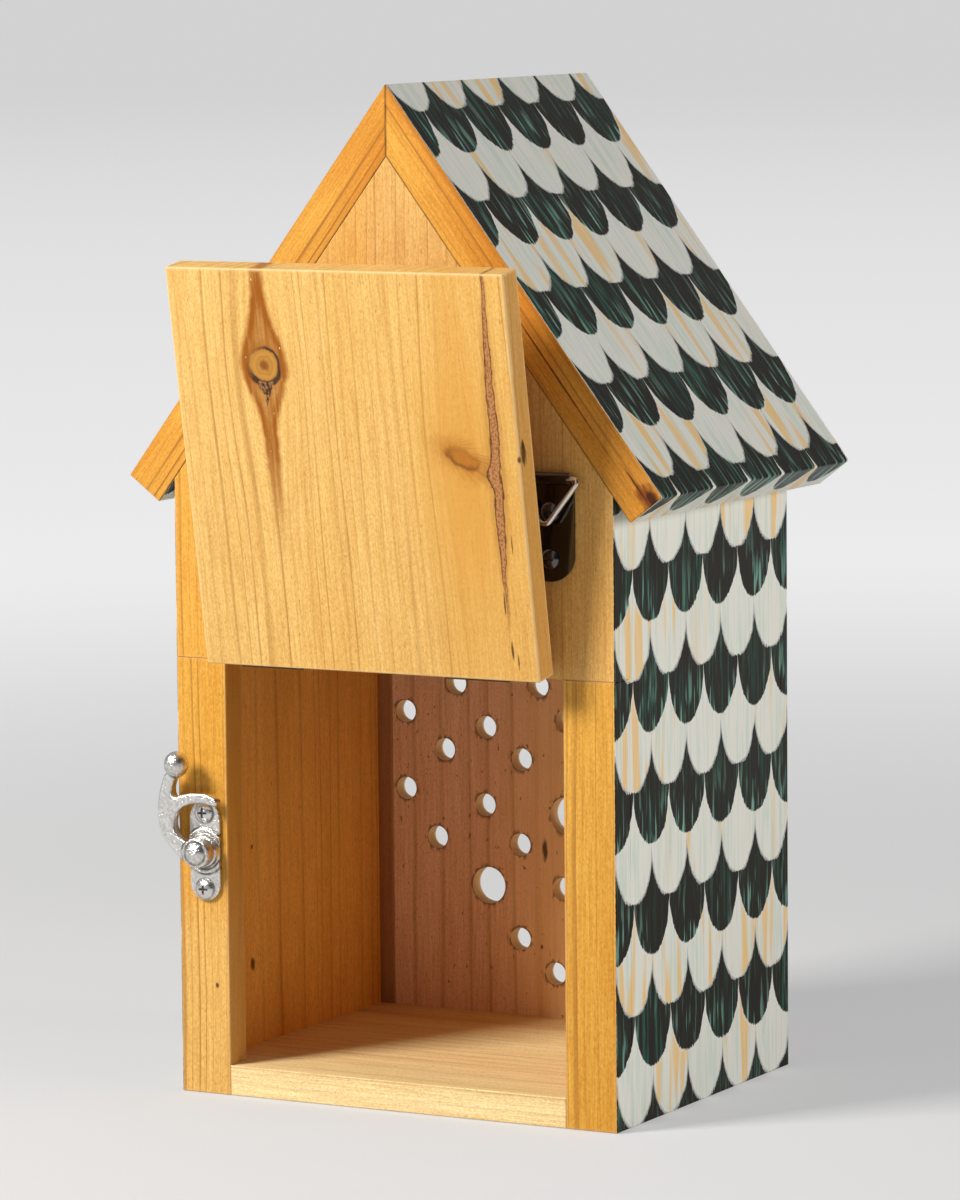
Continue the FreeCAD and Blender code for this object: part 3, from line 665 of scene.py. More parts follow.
class Board:
    """A board's own axes: across the grain, through the thickness and along the grain."""

    def __init__(self, origin, across, through, along):
        self.origin = Vector(origin)
        self.axes = (Vector(across), Vector(through), Vector(along))

    def point(self, wire):
        """Place on the board in its own axes, in millimetres."""
        offset = wire.vector("SUBTRACT", wire.object_point(), self.origin)
        return wire.combine(*(offset.along(axis) for axis in self.axes))


UPRIGHT = Board((0, 0, 0), (1, 0, 0), (0, 1, 0), (0, 0, 1))
LYING = Board((0, 0, 0), (0, 1, 0), (0, 0, 1), (1, 0, 0))


def grain(wire, wood, seed, point, **changes):
    """Colour and height of one board's grain."""
    inputs = {
        "Board Point": point,
        "Pale Colour": rgba(wood.pale),
        "Late Colour": rgba(wood.late),
        "Tint Colour": rgba(wood.tint),
        "Ring Spacing": wood.ring_spacing * MM,
        "Seed": seed,
    }
    inputs.update(changes)
    return wire.group(board_grain(), inputs)


def worn(wire, colour, point, middle, half, wood, amount):
    """Colour with paler edges, partly from rubbing and partly painted highlight."""
    pale_edge = wire.group(edge_wear(), {"Board Point": point, "Middle": middle, "Half Size": half})["Wear"]
    return wire.mix(pale_edge * amount, colour, wire.mix(0.25, rgba(wood.pale), WORN_AND_HIGHLIT_PALE))


def blot(wire, point, colour, place, reach, tone):
    """Soft-edged mark of another tone round a place on a board, with its reach in the board's axes."""
    offset = wire.vector("DIVIDE", wire.vector("SUBTRACT", point, place), reach)
    ragged = (point.noise((0.8, 0.8, 0.3), 3.0) - 0.5) * 1.1
    return wire.mix((offset.away((0.0, 0.0, 0.0)) + ragged).fall(0.45, 1.15) * 0.88, colour, tone)


def pin_knots(wire, point, colour, name):
    """Colour of a board with its small dark pin knots."""
    for place, reach in PIN_KNOTS.get(name, ()):
        colour = blot(wire, point, colour, place, reach, PIN_TONE)
    return colour


def finish_wood(wire, shader, wood, colour, height):
    """Clear satin finish over bare wood."""
    wire.feed(shader, {"Base Color": colour, "Roughness": wood.roughness, "Specular IOR Level": 0.14})
    wire.bump(shader, height, GRAIN_DEPTH, GRAIN_STRENGTH)


def finish_part_painted(wire, shader, wood, paint, bare, paint_point, painted, border):
    """Bare wood and brushed paint on one board, with the ground coat showing at the border of the paint."""
    inputs = {
        "Paint Point": paint_point,
        "Scale Width": paint.scale_width * MM,
        "Row Height": paint.row_height * MM,
    }
    for label in PAINTS:
        inputs[label + " Colour"] = rgba(getattr(paint, label.lower()))
    coat = wire.group(painted_scales(), inputs)
    coat_colour = wire.mix(border, coat["Colour"], rgba(paint.ground))
    wire.feed(shader, {
        "Base Color": wire.mix(painted, bare["Colour"], coat_colour),
        "Roughness": wire.mix(painted, rgba((wood.roughness,) * 3), coat["Roughness"]),
        "Specular IOR Level": 0.13,
    })
    height = wire.mix(painted, bare["Height"], coat["Height"] * 0.8 + 0.4)
    wire.bump(shader, height, GRAIN_DEPTH, GRAIN_STRENGTH)


def wall_paint(wire):
    """Mask of the painted sides and front of the house, and the point across and down those faces."""
    point = wire.object_point()
    x, y, z = point.parts()
    out = abs(x)
    ragged = (point.noise((0.5, 0.5, 0.9), 3.0) - 0.5) * 0.5
    side_start = ragged + (HALF_WIDTH - PAINT_WRAP)
    front_start = ragged + (FRONT_Y - PAINT_WRAP)
    on_side = out.rise(side_start, side_start + PAINT_FADE)
    on_front = y.rise(front_start, front_start + PAINT_FADE)
    across = y + (HALF_WIDTH - out)
    paint_point = wire.combine(across, z * -1.0, wire.math("SIGN", x))
    return wire.math("MAXIMUM", on_side, on_front), paint_point


class BEEHOTEL_OT_house_boards(bpy.types.Operator):
    """Finish the walls, stiles, gable panel and floor: bare inside and at the back, painted outside"""

    bl_idname = "bee_hotel.house_boards"
    bl_label = "House boards"

    def execute(self, context):
        """Finish the upright boards, the floor and the drilled panel."""
        wood = context.scene.bee_hotel_wood
        paint = context.scene.bee_hotel_paint
        amber = {"Pale Colour": rgba(wood.amber), "Tint Colour": AMBER_STAIN, "Line Strength": 0.8,
                 "Ring Spacing": 3.1}
        indoor = {"Pale Colour": INDOOR_WOOD, "Tint Colour": INDOOR_STAIN, "Line Strength": 0.62,
                  "Ring Spacing": 5.2}
        dusky = {"Pale Colour": DUSKY_WOOD, "Tint Colour": DUSKY_STAIN}
        gable = {"Pale Colour": rgba(wood.gable), "Ring Spacing": 4.2}
        # Each board's seed, the pith aside and below, how much it is stained, and its colours
        for name, seed, aside, below, stained, colours in (
            ("left_wall", 1.0, 130.0, 40.0, 0.85, indoor),
            ("right_wall", 2.0, -130.0, 55.0, 0.85, indoor),
            ("left_back_stile", 3.0, 190.0, 90.0, 0.9, amber),
            ("right_back_stile", 4.0, 60.0, 90.0, 0.9, amber),
            ("back_gable_panel", 5.0, 150.0, 90.0, 0.6, gable),
            ("left_front_stile", 6.0, 140.0, 20.0, 0.8, dusky),
            ("right_front_stile", 7.0, -140.0, 20.0, 0.8, dusky),
        ):
            changes = {"Pith Aside": aside, "Pith Below": below, "Tint Amount": stained, **colours}
            self.upright_board(name, wood, paint, seed, changes)
        self.floor_board(wood)
        self.drilled_panel(wood)
        return {"FINISHED"}

    def upright_board(self, name, wood, paint, seed, changes):
        """Upright board with its grain along its height."""
        material, wire, shader = new_material(name + "_finish")
        point = UPRIGHT.point(wire)
        x, _, z = point.parts()
        if name == "left_back_stile":
            paler_foot = z.rise(95.0, 50.0) * 0.7
            for label in ("Pale Colour", "Tint Colour"):
                changes[label] = wire.mix(paler_foot, changes[label], rgba(wood.pale))
        if name == "back_gable_panel":
            left_edge = x.rise(-62.0, -74.0)
            changes["Pale Colour"] = wire.mix(left_edge, changes["Pale Colour"], rgba(wood.amber))
        bare = grain(wire, wood, seed, point, **changes)
        colour = bare["Colour"]
        low, high = (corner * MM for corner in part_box(name))
        middle = (low + high) / 2
        half = (high - low) / 2
        # Darker sides of the back stiles: painted shade
        if name.endswith("back_stile"):
            shaded_sides = abs(x - middle.x).rise(half.x - 0.4, half.x - 0.1)
            colour = wire.mix(shaded_sides * 0.5, colour, rgba(wood.late))
        colour = worn(wire, colour, point, middle, half, wood, 0.22)
        colour = pin_knots(wire, point, colour, name)
        if "back" in name:
            joint = ((z - GABLE_LOW.z) / 0.45).bell()
            colour = wire.mix(joint * 0.25, colour, rgba(wood.late))
        painted, paint_point = wall_paint(wire)
        bare["Colour"] = colour
        finish_part_painted(wire, shader, wood, paint, bare, paint_point, painted, 0.0)
        give(material, name)

    def floor_board(self, wood):
        """Floor with its grain from side to side."""
        material, wire, shader = new_material("floor_board_finish")
        changes = {"Pale Colour": rgba(wood.floor), "Tint Colour": FLOOR_STAIN, "Pith Aside": 95.0,
                   "Pith Below": 70.0, "Tint Amount": 0.5, "Ring Spacing": 5.0, "Line Strength": 0.42}
        bare = grain(wire, wood, 8.0, LYING.point(wire), **changes)
        finish_wood(wire, shader, wood, bare["Colour"], bare["Height"])
        give(material, "floor_board")

    def drilled_panel(self, wood):
        """Thin redder panel, paler toward its right in painted light, with dark torn rims round its holes."""
        material, wire, shader = new_material("drilled_panel_finish")
        point = UPRIGHT.point(wire)
        changes = {"Pale Colour": rgba(wood.inner), "Tint Colour": PANEL_STAIN, "Pith Aside": 140.0,
                   "Pith Below": 120.0, "Ring Spacing": 5.0, "Line Strength": 0.68}
        bare = grain(wire, wood, 9.0, point, **changes)
        x, _, z = point.parts()
        face_point = wire.combine(x, 0.0, z)
        nearest = None
        for low, high in BEE_HOLES:
            centre = ((low[0] + high[0]) / 2 * MM, 0.0, (low[2] + high[2]) / 2 * MM)
            radius = (high[0] - low[0]) / 2 * MM / HOLE_BOX_SHARE
            gap = face_point.away(centre) - radius
            nearest = gap if nearest is None else wire.math("MINIMUM", nearest, gap)
        torn = point.noise((0.7, 0.7, 0.30), 3.0).rise(0.30, 0.75) * 3.0
        # Paler, warmer wood toward the right of the panel: painted light
        colour = wire.mix(x.rise(-40.0, 2.0) * 0.68, bare["Colour"], PANEL_PAINTED_LIGHT)
        colour = pin_knots(wire, point, colour, "front_drilled_panel")
        colour = wire.mix(nearest.fall(0.0, torn) * 0.75, colour, TORN_RIM)
        colour = wire.mix(nearest.fall(0.0, 0.08) * 0.9, colour, FRESH_BORE)
        finish_wood(wire, shader, wood, colour, bare["Height"])
        give(material, "front_drilled_panel")


class BEEHOTEL_OT_roof(bpy.types.Operator):
    """Finish the roof boards: painted scales outside, bare wood at the back and inside"""

    bl_idname = "bee_hotel.roof"
    bl_label = "Roof"

    def execute(self, context):
        """Finish both roof boards."""
        wood = context.scene.bee_hotel_wood
        paint = context.scene.bee_hotel_paint
        pitch = paint.roof_pitch
        changes = {"Pale Colour": rgba(wood.amber), "Tint Colour": ROOF_STAIN, "Pith Aside": 30.0,
                   "Pith Below": 46.0, "Tint Amount": 1.0, "Ring Spacing": 2.7, "Line Strength": 1.0,
                   "Wander": 5.0}
        for name, sign, seed in (("left_roof_board", -1.0, 11.0), ("right_roof_board", 1.0, 12.0)):
            outward = (sign * math.sin(pitch), 0, math.cos(pitch))
            downward = (sign * math.cos(pitch), 0, -math.sin(pitch))
            board = Board((0.0, 0.0, ROOF_HIGH.z), (0, 1, 0), outward, downward)
            material, wire, shader = new_material(name + "_finish")
            point = board.point(wire)
            bare = grain(wire, wood, seed, point, **changes)
            painted, border, paint_point = self.roof_paint(wire, point, sign)
            bare["Colour"] = wire.mix(self.glue_lines(wire, point, pitch), bare["Colour"], GLUE_LINE)
            marks = EAVE_MARKS if name == "right_roof_board" else ()
            for place, reach, tone in marks:
                bare["Colour"] = blot(wire, point, bare["Colour"], place, reach, tone)
            finish_part_painted(wire, shader, wood, paint, bare, paint_point, painted, border)
            give(material, name)
        return {"FINISHED"}

    def glue_lines(self, wire, point, pitch):
        """Mask of the thin dark lines at the mitre of the ridge and along the gable panel."""
        depth = point.parts()[1]
        x = wire.object_point().parts()[0]
        uneven = point.noise((0.2, 0.2, 0.12), 3.0).spread(0.2, 1.5)
        thickness = (ROOF_HIGH.z - GABLE_HIGH.z) * math.cos(pitch)
        mitre = (x / 0.42).bell()
        along_gable = ((depth + (thickness - 0.2)) / 0.40).bell()
        return wire.math("MAXIMUM", mitre, along_gable) * uneven * 0.85

    def roof_paint(self, wire, point, sign):
        """Masks of the paint and of its border, and the point across and down the folded-out faces."""
        y, outward, slope = point.parts()
        depth = outward * -1.0
        x = abs(wire.object_point().parts()[0])
        ragged = point.noise((0.5, 0.5, 0.35), 3.0) * 0.9
        from_back = y - BACK_Y
        border = from_back.fall(ragged + 0.25, ragged + 0.55)
        indoors = wire.math("LESS_THAN", x, HALF_WIDTH - 1.0) * wire.math("LESS_THAN", y, FRONT_Y - 1.0)
        inside = indoors * wire.math("GREATER_THAN", depth, 1.0)
        painted = from_back.rise(ragged, ragged + 0.08) * (1.0 - inside)
        on_front = wire.math("GREATER_THAN", y, ROOF_HIGH.y - 0.4)
        across = y + depth * on_front
        down = slope - 12.0 + depth * (1.0 - on_front)
        return painted, border, wire.combine(across, down, sign * 3.0)


class BEEHOTEL_OT_door(bpy.types.Operator):
    """Finish the door: honey wood with a round knot, a branch eye and a run of inner bark"""

    bl_idname = "bee_hotel.door"
    bl_label = "Door"

    def execute(self, context):
        """Finish the door panel."""
        wood = context.scene.bee_hotel_wood
        turn = Matrix.Rotation(-DOOR_SWING, 3, "X")
        board = Board(HINGE, (1, 0, 0), turn @ Vector((0, 1, 0)), turn @ Vector((0, 0, 1)))
        material, wire, shader = new_material("door_panel_finish")
        point = board.point(wire)
        knot_place = {"Aside": -31.2, "Along": -114.5, "Radius": 6.5, "Reach": 74.0}
        eye_place = {"Aside": 46.5, "Along": -84.0, "Radius": 4.6, "Reach": 26.0}
        knot = wire.group(knot_figure(), {"Board Point": point, **knot_place})
        eye = wire.group(knot_figure(), {"Board Point": knot["Bent Point"], **eye_place})
        changes = {"Pith Aside": 190.0, "Pith Below": 90.0, "Ring Spacing": 4.4, "Tint Amount": 0.40,
                   "Line Strength": 0.72, "Wander": 13.0}
        bare = grain(wire, wood, 14.0, eye["Bent Point"], **changes)
        colour = self.branch_eye(wire, wood, point, bare["Colour"])
        colour = self.round_knot(wire, wood, point, colour, knot)
        colour, bark = self.bark_run(wire, wood, point, colour)

        # Darker long sides of the door: painted shade
        side = abs(point.parts()[0]).rise(DOOR_HALF_WIDTH - 0.4, DOOR_HALF_WIDTH - 0.1)
        colour = wire.mix(side * 0.46, colour, rgba(wood.late))
        middle = (0.0, DOOR_MIDDLE_DEPTH, (DOOR_FREE_END + DOOR_HINGE_END) / 2)
        half = (DOOR_HALF_WIDTH, DOOR_HALF_DEPTH, (DOOR_HINGE_END - DOOR_FREE_END) / 2)
        # The door's edges are paled strongly: rubbing and a painted highlight
        colour = worn(wire, colour, point, middle, half, wood, 0.75)
        for place, reach in DOOR_MARKS:
            colour = blot(wire, point, colour, place, reach, PITCH)
        height = bare["Height"] - (knot["Rim"] * 2.0 + bark * 0.9)
        finish_wood(wire, shader, wood, colour, height)
        give(material, "door_panel")
        return {"FINISHED"}

    def round_knot(self, wire, wood, point, colour, knot):
        """Sound round knot in a flame of darker wood, with beads of resin and a pocket of pitch."""
        colour = wire.mix(knot["Halo"] * 0.60, colour, HALO_BROWN)
        colour = wire.mix(knot["Flame"] * 0.92, colour, FLAME_BROWN)
        resin = point.noise((0.8, 0.8, 0.45), 1.0).rise(0.71, 0.76) * knot["Flame"]
        colour = wire.mix(resin, colour, RESIN_GOLD)
        ring_brown = wire.mix(0.20, rgba(wood.late), RING_DARK)
        face = wire.mix(knot["Rings"] * 0.35, rgba(wood.knot), ring_brown)
        face = wire.mix(knot["Heart"] * 0.80, face, HEART_RED)
        colour = wire.mix(knot["Face"], colour, face)
        colour = wire.mix(knot["Rim"] * 0.92, colour, PITCH)
        crumbs = point.noise((1.1, 1.1, 0.8)).rise(0.46, 0.62)
        return wire.mix(knot["Pitch"] * 0.90, colour, wire.mix(crumbs, PITCH, CRUMB_BROWN))

    def branch_eye(self, wire, wood, point, colour):
        """Slanted eye of a branch in warmer wood, with fine lines that fan out toward the bark."""
        x, _, z = point.parts()
        dx = x - 46.0
        dz = z + 83.0
        slant = math.radians(26)
        u = dx * math.cos(slant) + dz * math.sin(slant)
        v = dz * math.cos(slant) - dx * math.sin(slant)
        rough = (point.noise((0.35, 0.35, 0.35), 3.0) - 0.5) * 0.9
        out = wire.hypot(u / 6.4, v / 3.0) + rough
        warm_patch = (dx * 0.055).bell() * ((z + 74.0) * 0.015).bell()
        warm_tone = wire.wood_shade(rgba(wood.tint), rough.spread(0.90, 1.25))
        colour = wire.mix(warm_patch * 0.85, colour, warm_tone)
        colour = wire.mix((out * 0.60).bell() * 0.85, colour, EYE_GLOW)
        angle = wire.math("ARCTAN2", v, u + 9.0)
        fan = wire.combine(angle, 0.0, 0.0).noise((16.0, 1.0, 1.0), 1.0).rise(0.48, 0.66)
        fan = fan * ((out - 1.3) * 0.9).bell() * 0.40
        colour = wire.mix(fan, colour, rgba(wood.late))
        rim = ((out - 0.90) / 0.26).bell() * v.rise(-3.0, 3.0).spread(0.30, 0.85)
        return wire.mix(rim, colour, EYE_RIM)

    def bark_run(self, wire, wood, point, colour):
        """Run of inner bark near the right edge, widest at the branch eye, thinning to a thread below it."""
        x, _, z = point.parts()
        from_end = z - DOOR_FREE_END
        wiggle = (point.noise((0.0, 0.0, 0.06), 3.0) - 0.5) * 2.6
        lobe = ((from_end - 72.0) * 0.28).bell() * 1.1
        line = wiggle + 59.6 - lobe - from_end * 0.014
        swell = from_end.rise(-10.0, 62.0) * from_end.fall(84.0, 120.0)
        half = swell * 1.50 + 0.45 + lobe
        off = abs(x - line) / half + (point.noise((1.2, 1.2, 0.25)) - 0.5) * 0.8
        ends = from_end.fall(112.0, 134.0)
        bark = off.fall(0.88, 1.08) * ends
        mottle = point.noise((1.2, 1.2, 0.9), 3.0).rise(0.38, 0.56)
        bark_colour = wire.mix(mottle, rgba(wood.bark), BARK_LIGHT)
        bark_colour = wire.mix(off.rise(0.55, 0.90) * bark * 0.90, bark_colour, BARK_EDGE)
        colour = wire.mix(off.fall(1.0, 2.6) * ends * 0.35, colour, rgba(wood.late))
        return wire.mix(bark, colour, bark_colour), bark


def metal_skin(wire, **changes):
    """Height, roughness and shade of one metal's skin."""
    return wire.group(cast_skin(), {"Point": wire.object_point(), **changes})


def plain_metal(name, colour, fineness, smooth, dull, metallic=1.0, coat=0.0):
    """Metal of one colour, from smooth to dull in roughness."""
    material, wire, shader = new_material(name)
    skin = metal_skin(wire, Grain=fineness, Smooth=smooth, Dull=dull)
    wire.feed(shader, {
        "Base Color": wire.shade(rgba(colour), skin["Shade"]),
        "Roughness": skin["Roughness"],
        "Metallic": metallic,
        "Coat Weight": coat,
    })
    wire.bump(shader, skin["Height"], 0.00005, 0.4)
    return material


class BEEHOTEL_OT_latch(bpy.types.Operator):
    """Cast the swing hook, its base and its catch with soft edges, and plate them bright"""

    bl_idname = "bee_hotel.latch"
    bl_label = "Latch"

    def execute(self, context):
        """Plate the screws and the rivet, and cast the three larger pieces."""
        metal = context.scene.bee_hotel_metal
        plated = self.bright_plating(metal)
        give(plated, "latch_pivot_rivet", "latch_catch_screws")
        give(self.screw_plating(metal, "latch_base_screws"), "latch_base_screws")
        for node, body, rounds in (
            ("latch_arm", "latch_arm", 14), ("latch_base_plate", "house", 4), ("latch_catch", "door", 4),
        ):
            casting = self.cast(node, body, metal.casting_grain, rounds)
            give(plated, casting.name)
        return {"FINISHED"}

    def bright_plating(self, metal):
        """Bright mottled plating with painted shade in its hollows."""
        material, wire, shader = new_material("bright_plating")
        skin = metal_skin(wire, Smooth=0.10, Dull=0.26)
        mottle = wire.object_point().noise((1.0, 1.0, 1.0)).rise(0.36, 0.62).spread(0.84, 1.07)
        colour = wire.shade(rgba(metal.nickel), skin["Shade"] * mottle)
        # Darkening round the rivet, pad, bead, screws and ball: painted shade
        colour = wire.mix(self.creases(wire), colour, CREASE_SHADE)
        wire.feed(shader, {"Base Color": colour, "Roughness": skin["Roughness"], "Metallic": 1.0})
        wire.bump(shader, skin["Height"], 0.00028, 0.5)
        return material

    def creases(self, wire):
        """Mask of painted shade round the rivet, the pad, the bead, the screws and under the ball."""
        point = wire.object_point()
        x, y, z = point.parts()
        face_point = wire.combine(x, 0.0, z)
        on_arm = wire.math("GREATER_THAN", LATCH.y - y, ARM_LIFT)
        on_plate = 1.0 - on_arm
        mask = ((point.away(BALL) - 5.05) / 0.28).bell() * on_arm
        # Each ring's height from the pivot, radius and width, and the level that it lies on
        for height, radius, width, level in (
            (0.0, 4.35, 0.38, on_arm),
            (0.0, 5.95, 0.34, on_arm),
            (0.0, 6.75, 0.50, on_plate),
            (0.0, 8.75, 0.40, on_plate),
            (PLATE_SCREW_OFFSET, 3.85, 0.42, on_plate),
            (-PLATE_SCREW_OFFSET, 3.85, 0.42, on_plate),
        ):
            away = face_point.away((LATCH.x, 0.0, LATCH.z + height))
            ring = ((away - radius) / width).bell() * level
            mask = wire.math("MAXIMUM", mask, ring)
        return mask * point.noise((0.30, 0.30, 0.30)).rise(0.35, 0.60).spread(0.35, 0.90)

    def screw_plating(self, metal, node):
        """Bright plating with painted shade, and duller plating, in the cross of each screw of a column."""
        material, wire, shader = new_material("screw_plating")
        skin = metal_skin(wire, Smooth=0.12, Dull=0.30)
        x, _, z = wire.object_point().parts()
        low, high = (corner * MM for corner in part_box(node))
        head = (high.x - low.x) / 2
        aside = abs(x - (low.x + head))
        up = abs(z - (low.z + high.z) / 2)
        along = abs(up - ((high.z - low.z) / 2 - head))
        # Dark cross in each screw head: painted shade
        narrow = wire.math("MINIMUM", aside, along).fall(0.36, 0.48)
        cross_shade = narrow * wire.math("MAXIMUM", aside, along).fall(1.75, 1.95)
        wire.feed(shader, {
            "Base Color": wire.mix(cross_shade, rgba(metal.nickel), CROSS_SHADE),
            "Roughness": skin["Roughness"] + cross_shade * 0.4,
            "Metallic": 1.0,
        })
        wire.bump(shader, skin["Height"], 0.00012, 0.5)
        return material

    def cast(self, node, body, voxel, rounds):
        """Soft-edged skin of a solid, in the place of its CAD node."""
        rough = bpy.data.objects.new(node + "_rough", NODES[node].data.copy())
        bpy.context.scene.collection.objects.link(rough)
        skin = rough.modifiers.new("skin", "REMESH")
        skin.mode = "VOXEL"
        skin.voxel_size = voxel
        skin.use_smooth_shade = True
        soften = rough.modifiers.new("soften", "SMOOTH")
        soften.factor = 0.5
        soften.iterations = rounds
        evaluated = rough.evaluated_get(bpy.context.evaluated_depsgraph_get())
        mesh = bpy.data.meshes.new_from_object(evaluated)
        bpy.data.objects.remove(rough)
        if not mesh.polygons:
            raise RuntimeError("no skin was made for " + node)
        casting = bpy.data.objects.new(node + "_casting", mesh)
        bpy.context.scene.collection.objects.link(casting)
        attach(casting, body)
        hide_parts(node)
        return casting


class BEEHOTEL_OT_hangers(bpy.types.Operator):
    """Finish the strap hangers, their screws and their wire rings"""

    bl_idname = "bee_hotel.hangers"
    bl_label = "Hangers"

    def execute(self, context):
        """Finish both hangers."""
        metal = context.scene.bee_hotel_metal
        strap = plain_metal("gloss_black", metal.black, 0.6, 0.04, 0.12, metallic=0.0, coat=1.0)
        give(strap, "left_hanger_strap", "right_hanger_strap")
        give(plain_metal("black_nickel", BLACK_NICKEL, 1.2, 0.12, 0.24), "hanger_screws")
        ring = plain_metal("ring_wire", metal.wire, 1.5, 0.12, 0.30)
        give(ring, "left_hanger_ring", "right_hanger_ring")
        return {"FINISHED"}


class BEEHOTEL_OT_hinges(bpy.types.Operator):
    """Finish the brass hinges, their pins and screws"""

    bl_idname = "bee_hotel.hinges"
    bl_label = "Hinges"

    def execute(self, context):
        """Finish both hinges."""
        brass = plain_metal("hinge_brass", context.scene.bee_hotel_metal.brass, 1.2, 0.24, 0.48)
        for side in ("left", "right"):
            give(brass, side + "_hinge_frame_leaf", side + "_hinge_door_leaf", side + "_hinge_pin")
        give(brass, "hinge_frame_screws", "hinge_door_screws")
        return {"FINISHED"}


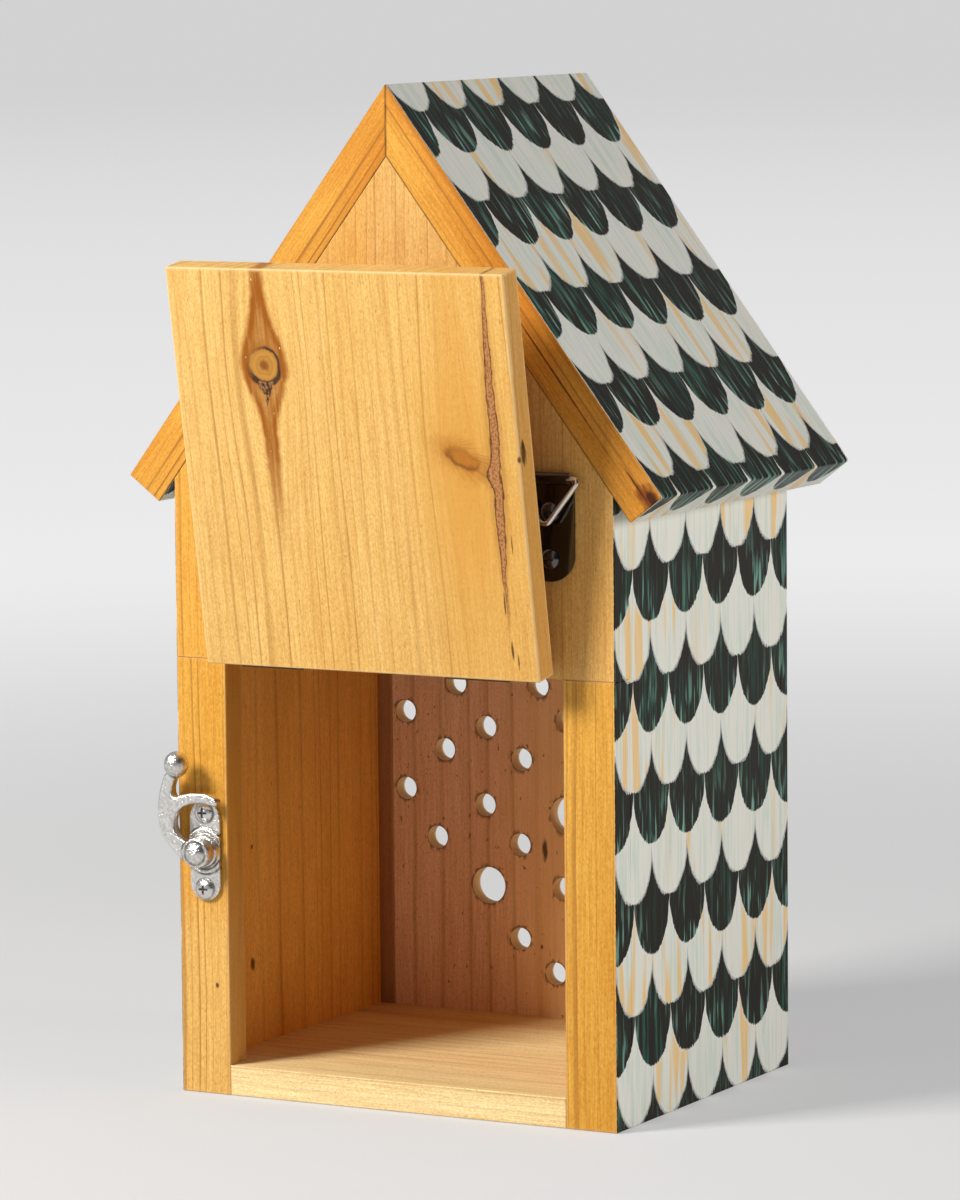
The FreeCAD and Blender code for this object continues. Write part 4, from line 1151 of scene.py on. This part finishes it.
class BEEHOTEL_OT_stage(bpy.types.Operator):
    """Set the pale floor, the soft light and the camera"""

    bl_idname = "bee_hotel.stage"
    bl_label = "Stage"

    def execute(self, context):
        """Set up floor, world, lights and camera."""
        stage = context.scene.bee_hotel_stage
        context.scene.view_settings.view_transform = "Standard"
        self.floor(stage)
        self.studio(context.scene, stage)
        self.soft_box(stage, "key")
        self.soft_box(stage, "fill").visible_glossy = False
        self.camera(context.scene, stage)
        return {"FINISHED"}

    def studio(self, scene, stage):
        """Even light from all round, a darker right side in polished metal and a plain backdrop."""
        world = bpy.data.worlds.new("studio")
        world.use_nodes = True
        wire = Wiring(world.node_tree)
        is_glossy = wire.value("LightPath", {}, "Is Glossy Ray")
        is_camera = wire.value("LightPath", {}, "Is Camera Ray")
        to_right = wire.value("TexCoord", {}, "Generated").along((1.0, 0.0, 0.0))
        mirrored = wire.mix(to_right.rise(0.05, 0.60), rgba((stage.mirrored,) * 3), UNLIT_SIDE)
        sky = wire.mix(is_glossy, rgba(stage.sky), mirrored)
        sky = wire.mix(is_camera, sky, rgba(stage.backdrop))
        wire.feed(world.node_tree.nodes["Background"].inputs, {"Color": sky})
        scene.world = world

    def floor(self, stage):
        """Wide plain disc under the house."""
        mesh = bpy.data.meshes.new("studio_floor")
        disc = bmesh.new()
        bmesh.ops.create_circle(disc, cap_ends=True, radius=stage.floor_radius, segments=FLOOR_SIDES)
        disc.to_mesh(mesh)
        disc.free()
        floor = bpy.data.objects.new("studio_floor", mesh)
        floor.location.z = cad_box[0].z - FLOOR_GAP
        bpy.context.scene.collection.objects.link(floor)
        material, wire, shader = new_material("studio_floor")
        # The camera sees all of the floor's glow, the house is lit by a share of it
        away = wire.value("TexCoord", {}, "Object").away((0.0, 0.0, 0.0))
        beyond = away.rise(1.5, 14.0).spread(stage.middle_glow, stage.far_glow)
        glow = beyond + away.fall(0.35, 1.9) * (stage.near_glow - stage.middle_glow)
        seen = wire.value("LightPath", {}, "Is Camera Ray")
        wire.feed(shader, {
            "Base Color": rgba(stage.ground),
            "Roughness": 0.9,
            "Specular IOR Level": 0.0,
            "Emission Color": (1.0, 1.0, 1.0, 1.0),
            "Emission Strength": glow * seen.spread(stage.bounce, 1.0),
        })
        mesh.materials.append(material)

    def soft_box(self, stage, name):
        """Square soft box that faces the house, turned to the right of the back face and above level."""
        turn = getattr(stage, name + "_turn")
        rise = getattr(stage, name + "_rise")
        light = bpy.data.lights.new(name + "_light", "AREA")
        light.energy = getattr(stage, name + "_power")
        light.size = getattr(stage, name + "_size")
        light.color = getattr(stage, name + "_colour")
        box = bpy.data.objects.new(name + "_light", light)
        toward = Vector((math.sin(turn) * math.cos(rise), -math.cos(turn) * math.cos(rise), math.sin(rise)))
        box.location = LIT_POINT + toward * getattr(stage, name + "_away")
        box.rotation_euler = toward.to_track_quat("Z", "Y").to_euler()
        bpy.context.scene.collection.objects.link(box)
        return box

    def camera(self, scene, stage):
        """Camera at the photograph's angle."""
        turn = stage.camera_turn
        dip = stage.camera_dip
        sight = Vector((-math.sin(turn) * math.cos(dip), math.cos(turn) * math.cos(dip), -math.sin(dip)))
        right = Vector((math.cos(turn), math.sin(turn), 0.0))
        right = Matrix.Rotation(-stage.camera_roll, 3, sight) @ right
        lens = bpy.data.cameras.new("photo_camera")
        lens.lens = stage.camera_lens
        lens.sensor_width = SENSOR_WIDTH
        lens.clip_end = FARTHEST_SEEN
        camera = bpy.data.objects.new("photo_camera", lens)
        axes = Matrix((right, right.cross(sight), -sight)).transposed().to_4x4()
        camera.matrix_world = Matrix.Translation(stage.camera_place) @ axes
        scene.collection.objects.link(camera)
        scene.camera = camera


class BEEHOTEL_PT_sidebar(bpy.types.Panel):
    """Finishes and stage of the bee hotel"""

    bl_idname = "BEEHOTEL_PT_sidebar"
    bl_label = "Bee Hotel"
    bl_space_type = "VIEW_3D"
    bl_region_type = "UI"
    bl_category = "Bee Hotel"

    def draw(self, context):
        """List the operators, then the settings of each group."""
        for operator in OPERATORS:
            self.layout.operator(operator.bl_idname)
        for name in SETTINGS:
            settings = getattr(context.scene, name)
            box = self.layout.box()
            for prop in settings.__annotations__:
                box.prop(settings, prop)


SETTINGS = {
    "bee_hotel_wood": BeeHotelWood,
    "bee_hotel_paint": BeeHotelPaint,
    "bee_hotel_metal": BeeHotelMetal,
    "bee_hotel_stage": BeeHotelStage,
}
OPERATORS = (
    BEEHOTEL_OT_house_boards,
    BEEHOTEL_OT_roof,
    BEEHOTEL_OT_door,
    BEEHOTEL_OT_hinges,
    BEEHOTEL_OT_hangers,
    BEEHOTEL_OT_latch,
    BEEHOTEL_OT_stage,
)


def register():
    """Add the classes and hang the settings on the scene."""
    for name, settings in SETTINGS.items():
        bpy.utils.register_class(settings)
        setattr(bpy.types.Scene, name, bpy.props.PointerProperty(type=settings))
    for operator in OPERATORS:
        bpy.utils.register_class(operator)
    bpy.utils.register_class(BEEHOTEL_PT_sidebar)


def unregister():
    """Take the classes and settings away again."""
    bpy.utils.unregister_class(BEEHOTEL_PT_sidebar)
    for operator in reversed(OPERATORS):
        bpy.utils.unregister_class(operator)
    for name, settings in SETTINGS.items():
        delattr(bpy.types.Scene, name)
        bpy.utils.unregister_class(settings)


def main():
    """Dress the model piece by piece."""
    register()
    bpy.ops.bee_hotel.house_boards()
    bpy.ops.bee_hotel.roof()
    bpy.ops.bee_hotel.door()
    bpy.ops.bee_hotel.hinges()
    bpy.ops.bee_hotel.hangers()
    bpy.ops.bee_hotel.latch()
    bpy.ops.bee_hotel.stage()


if __name__ == "__main__":
    main()
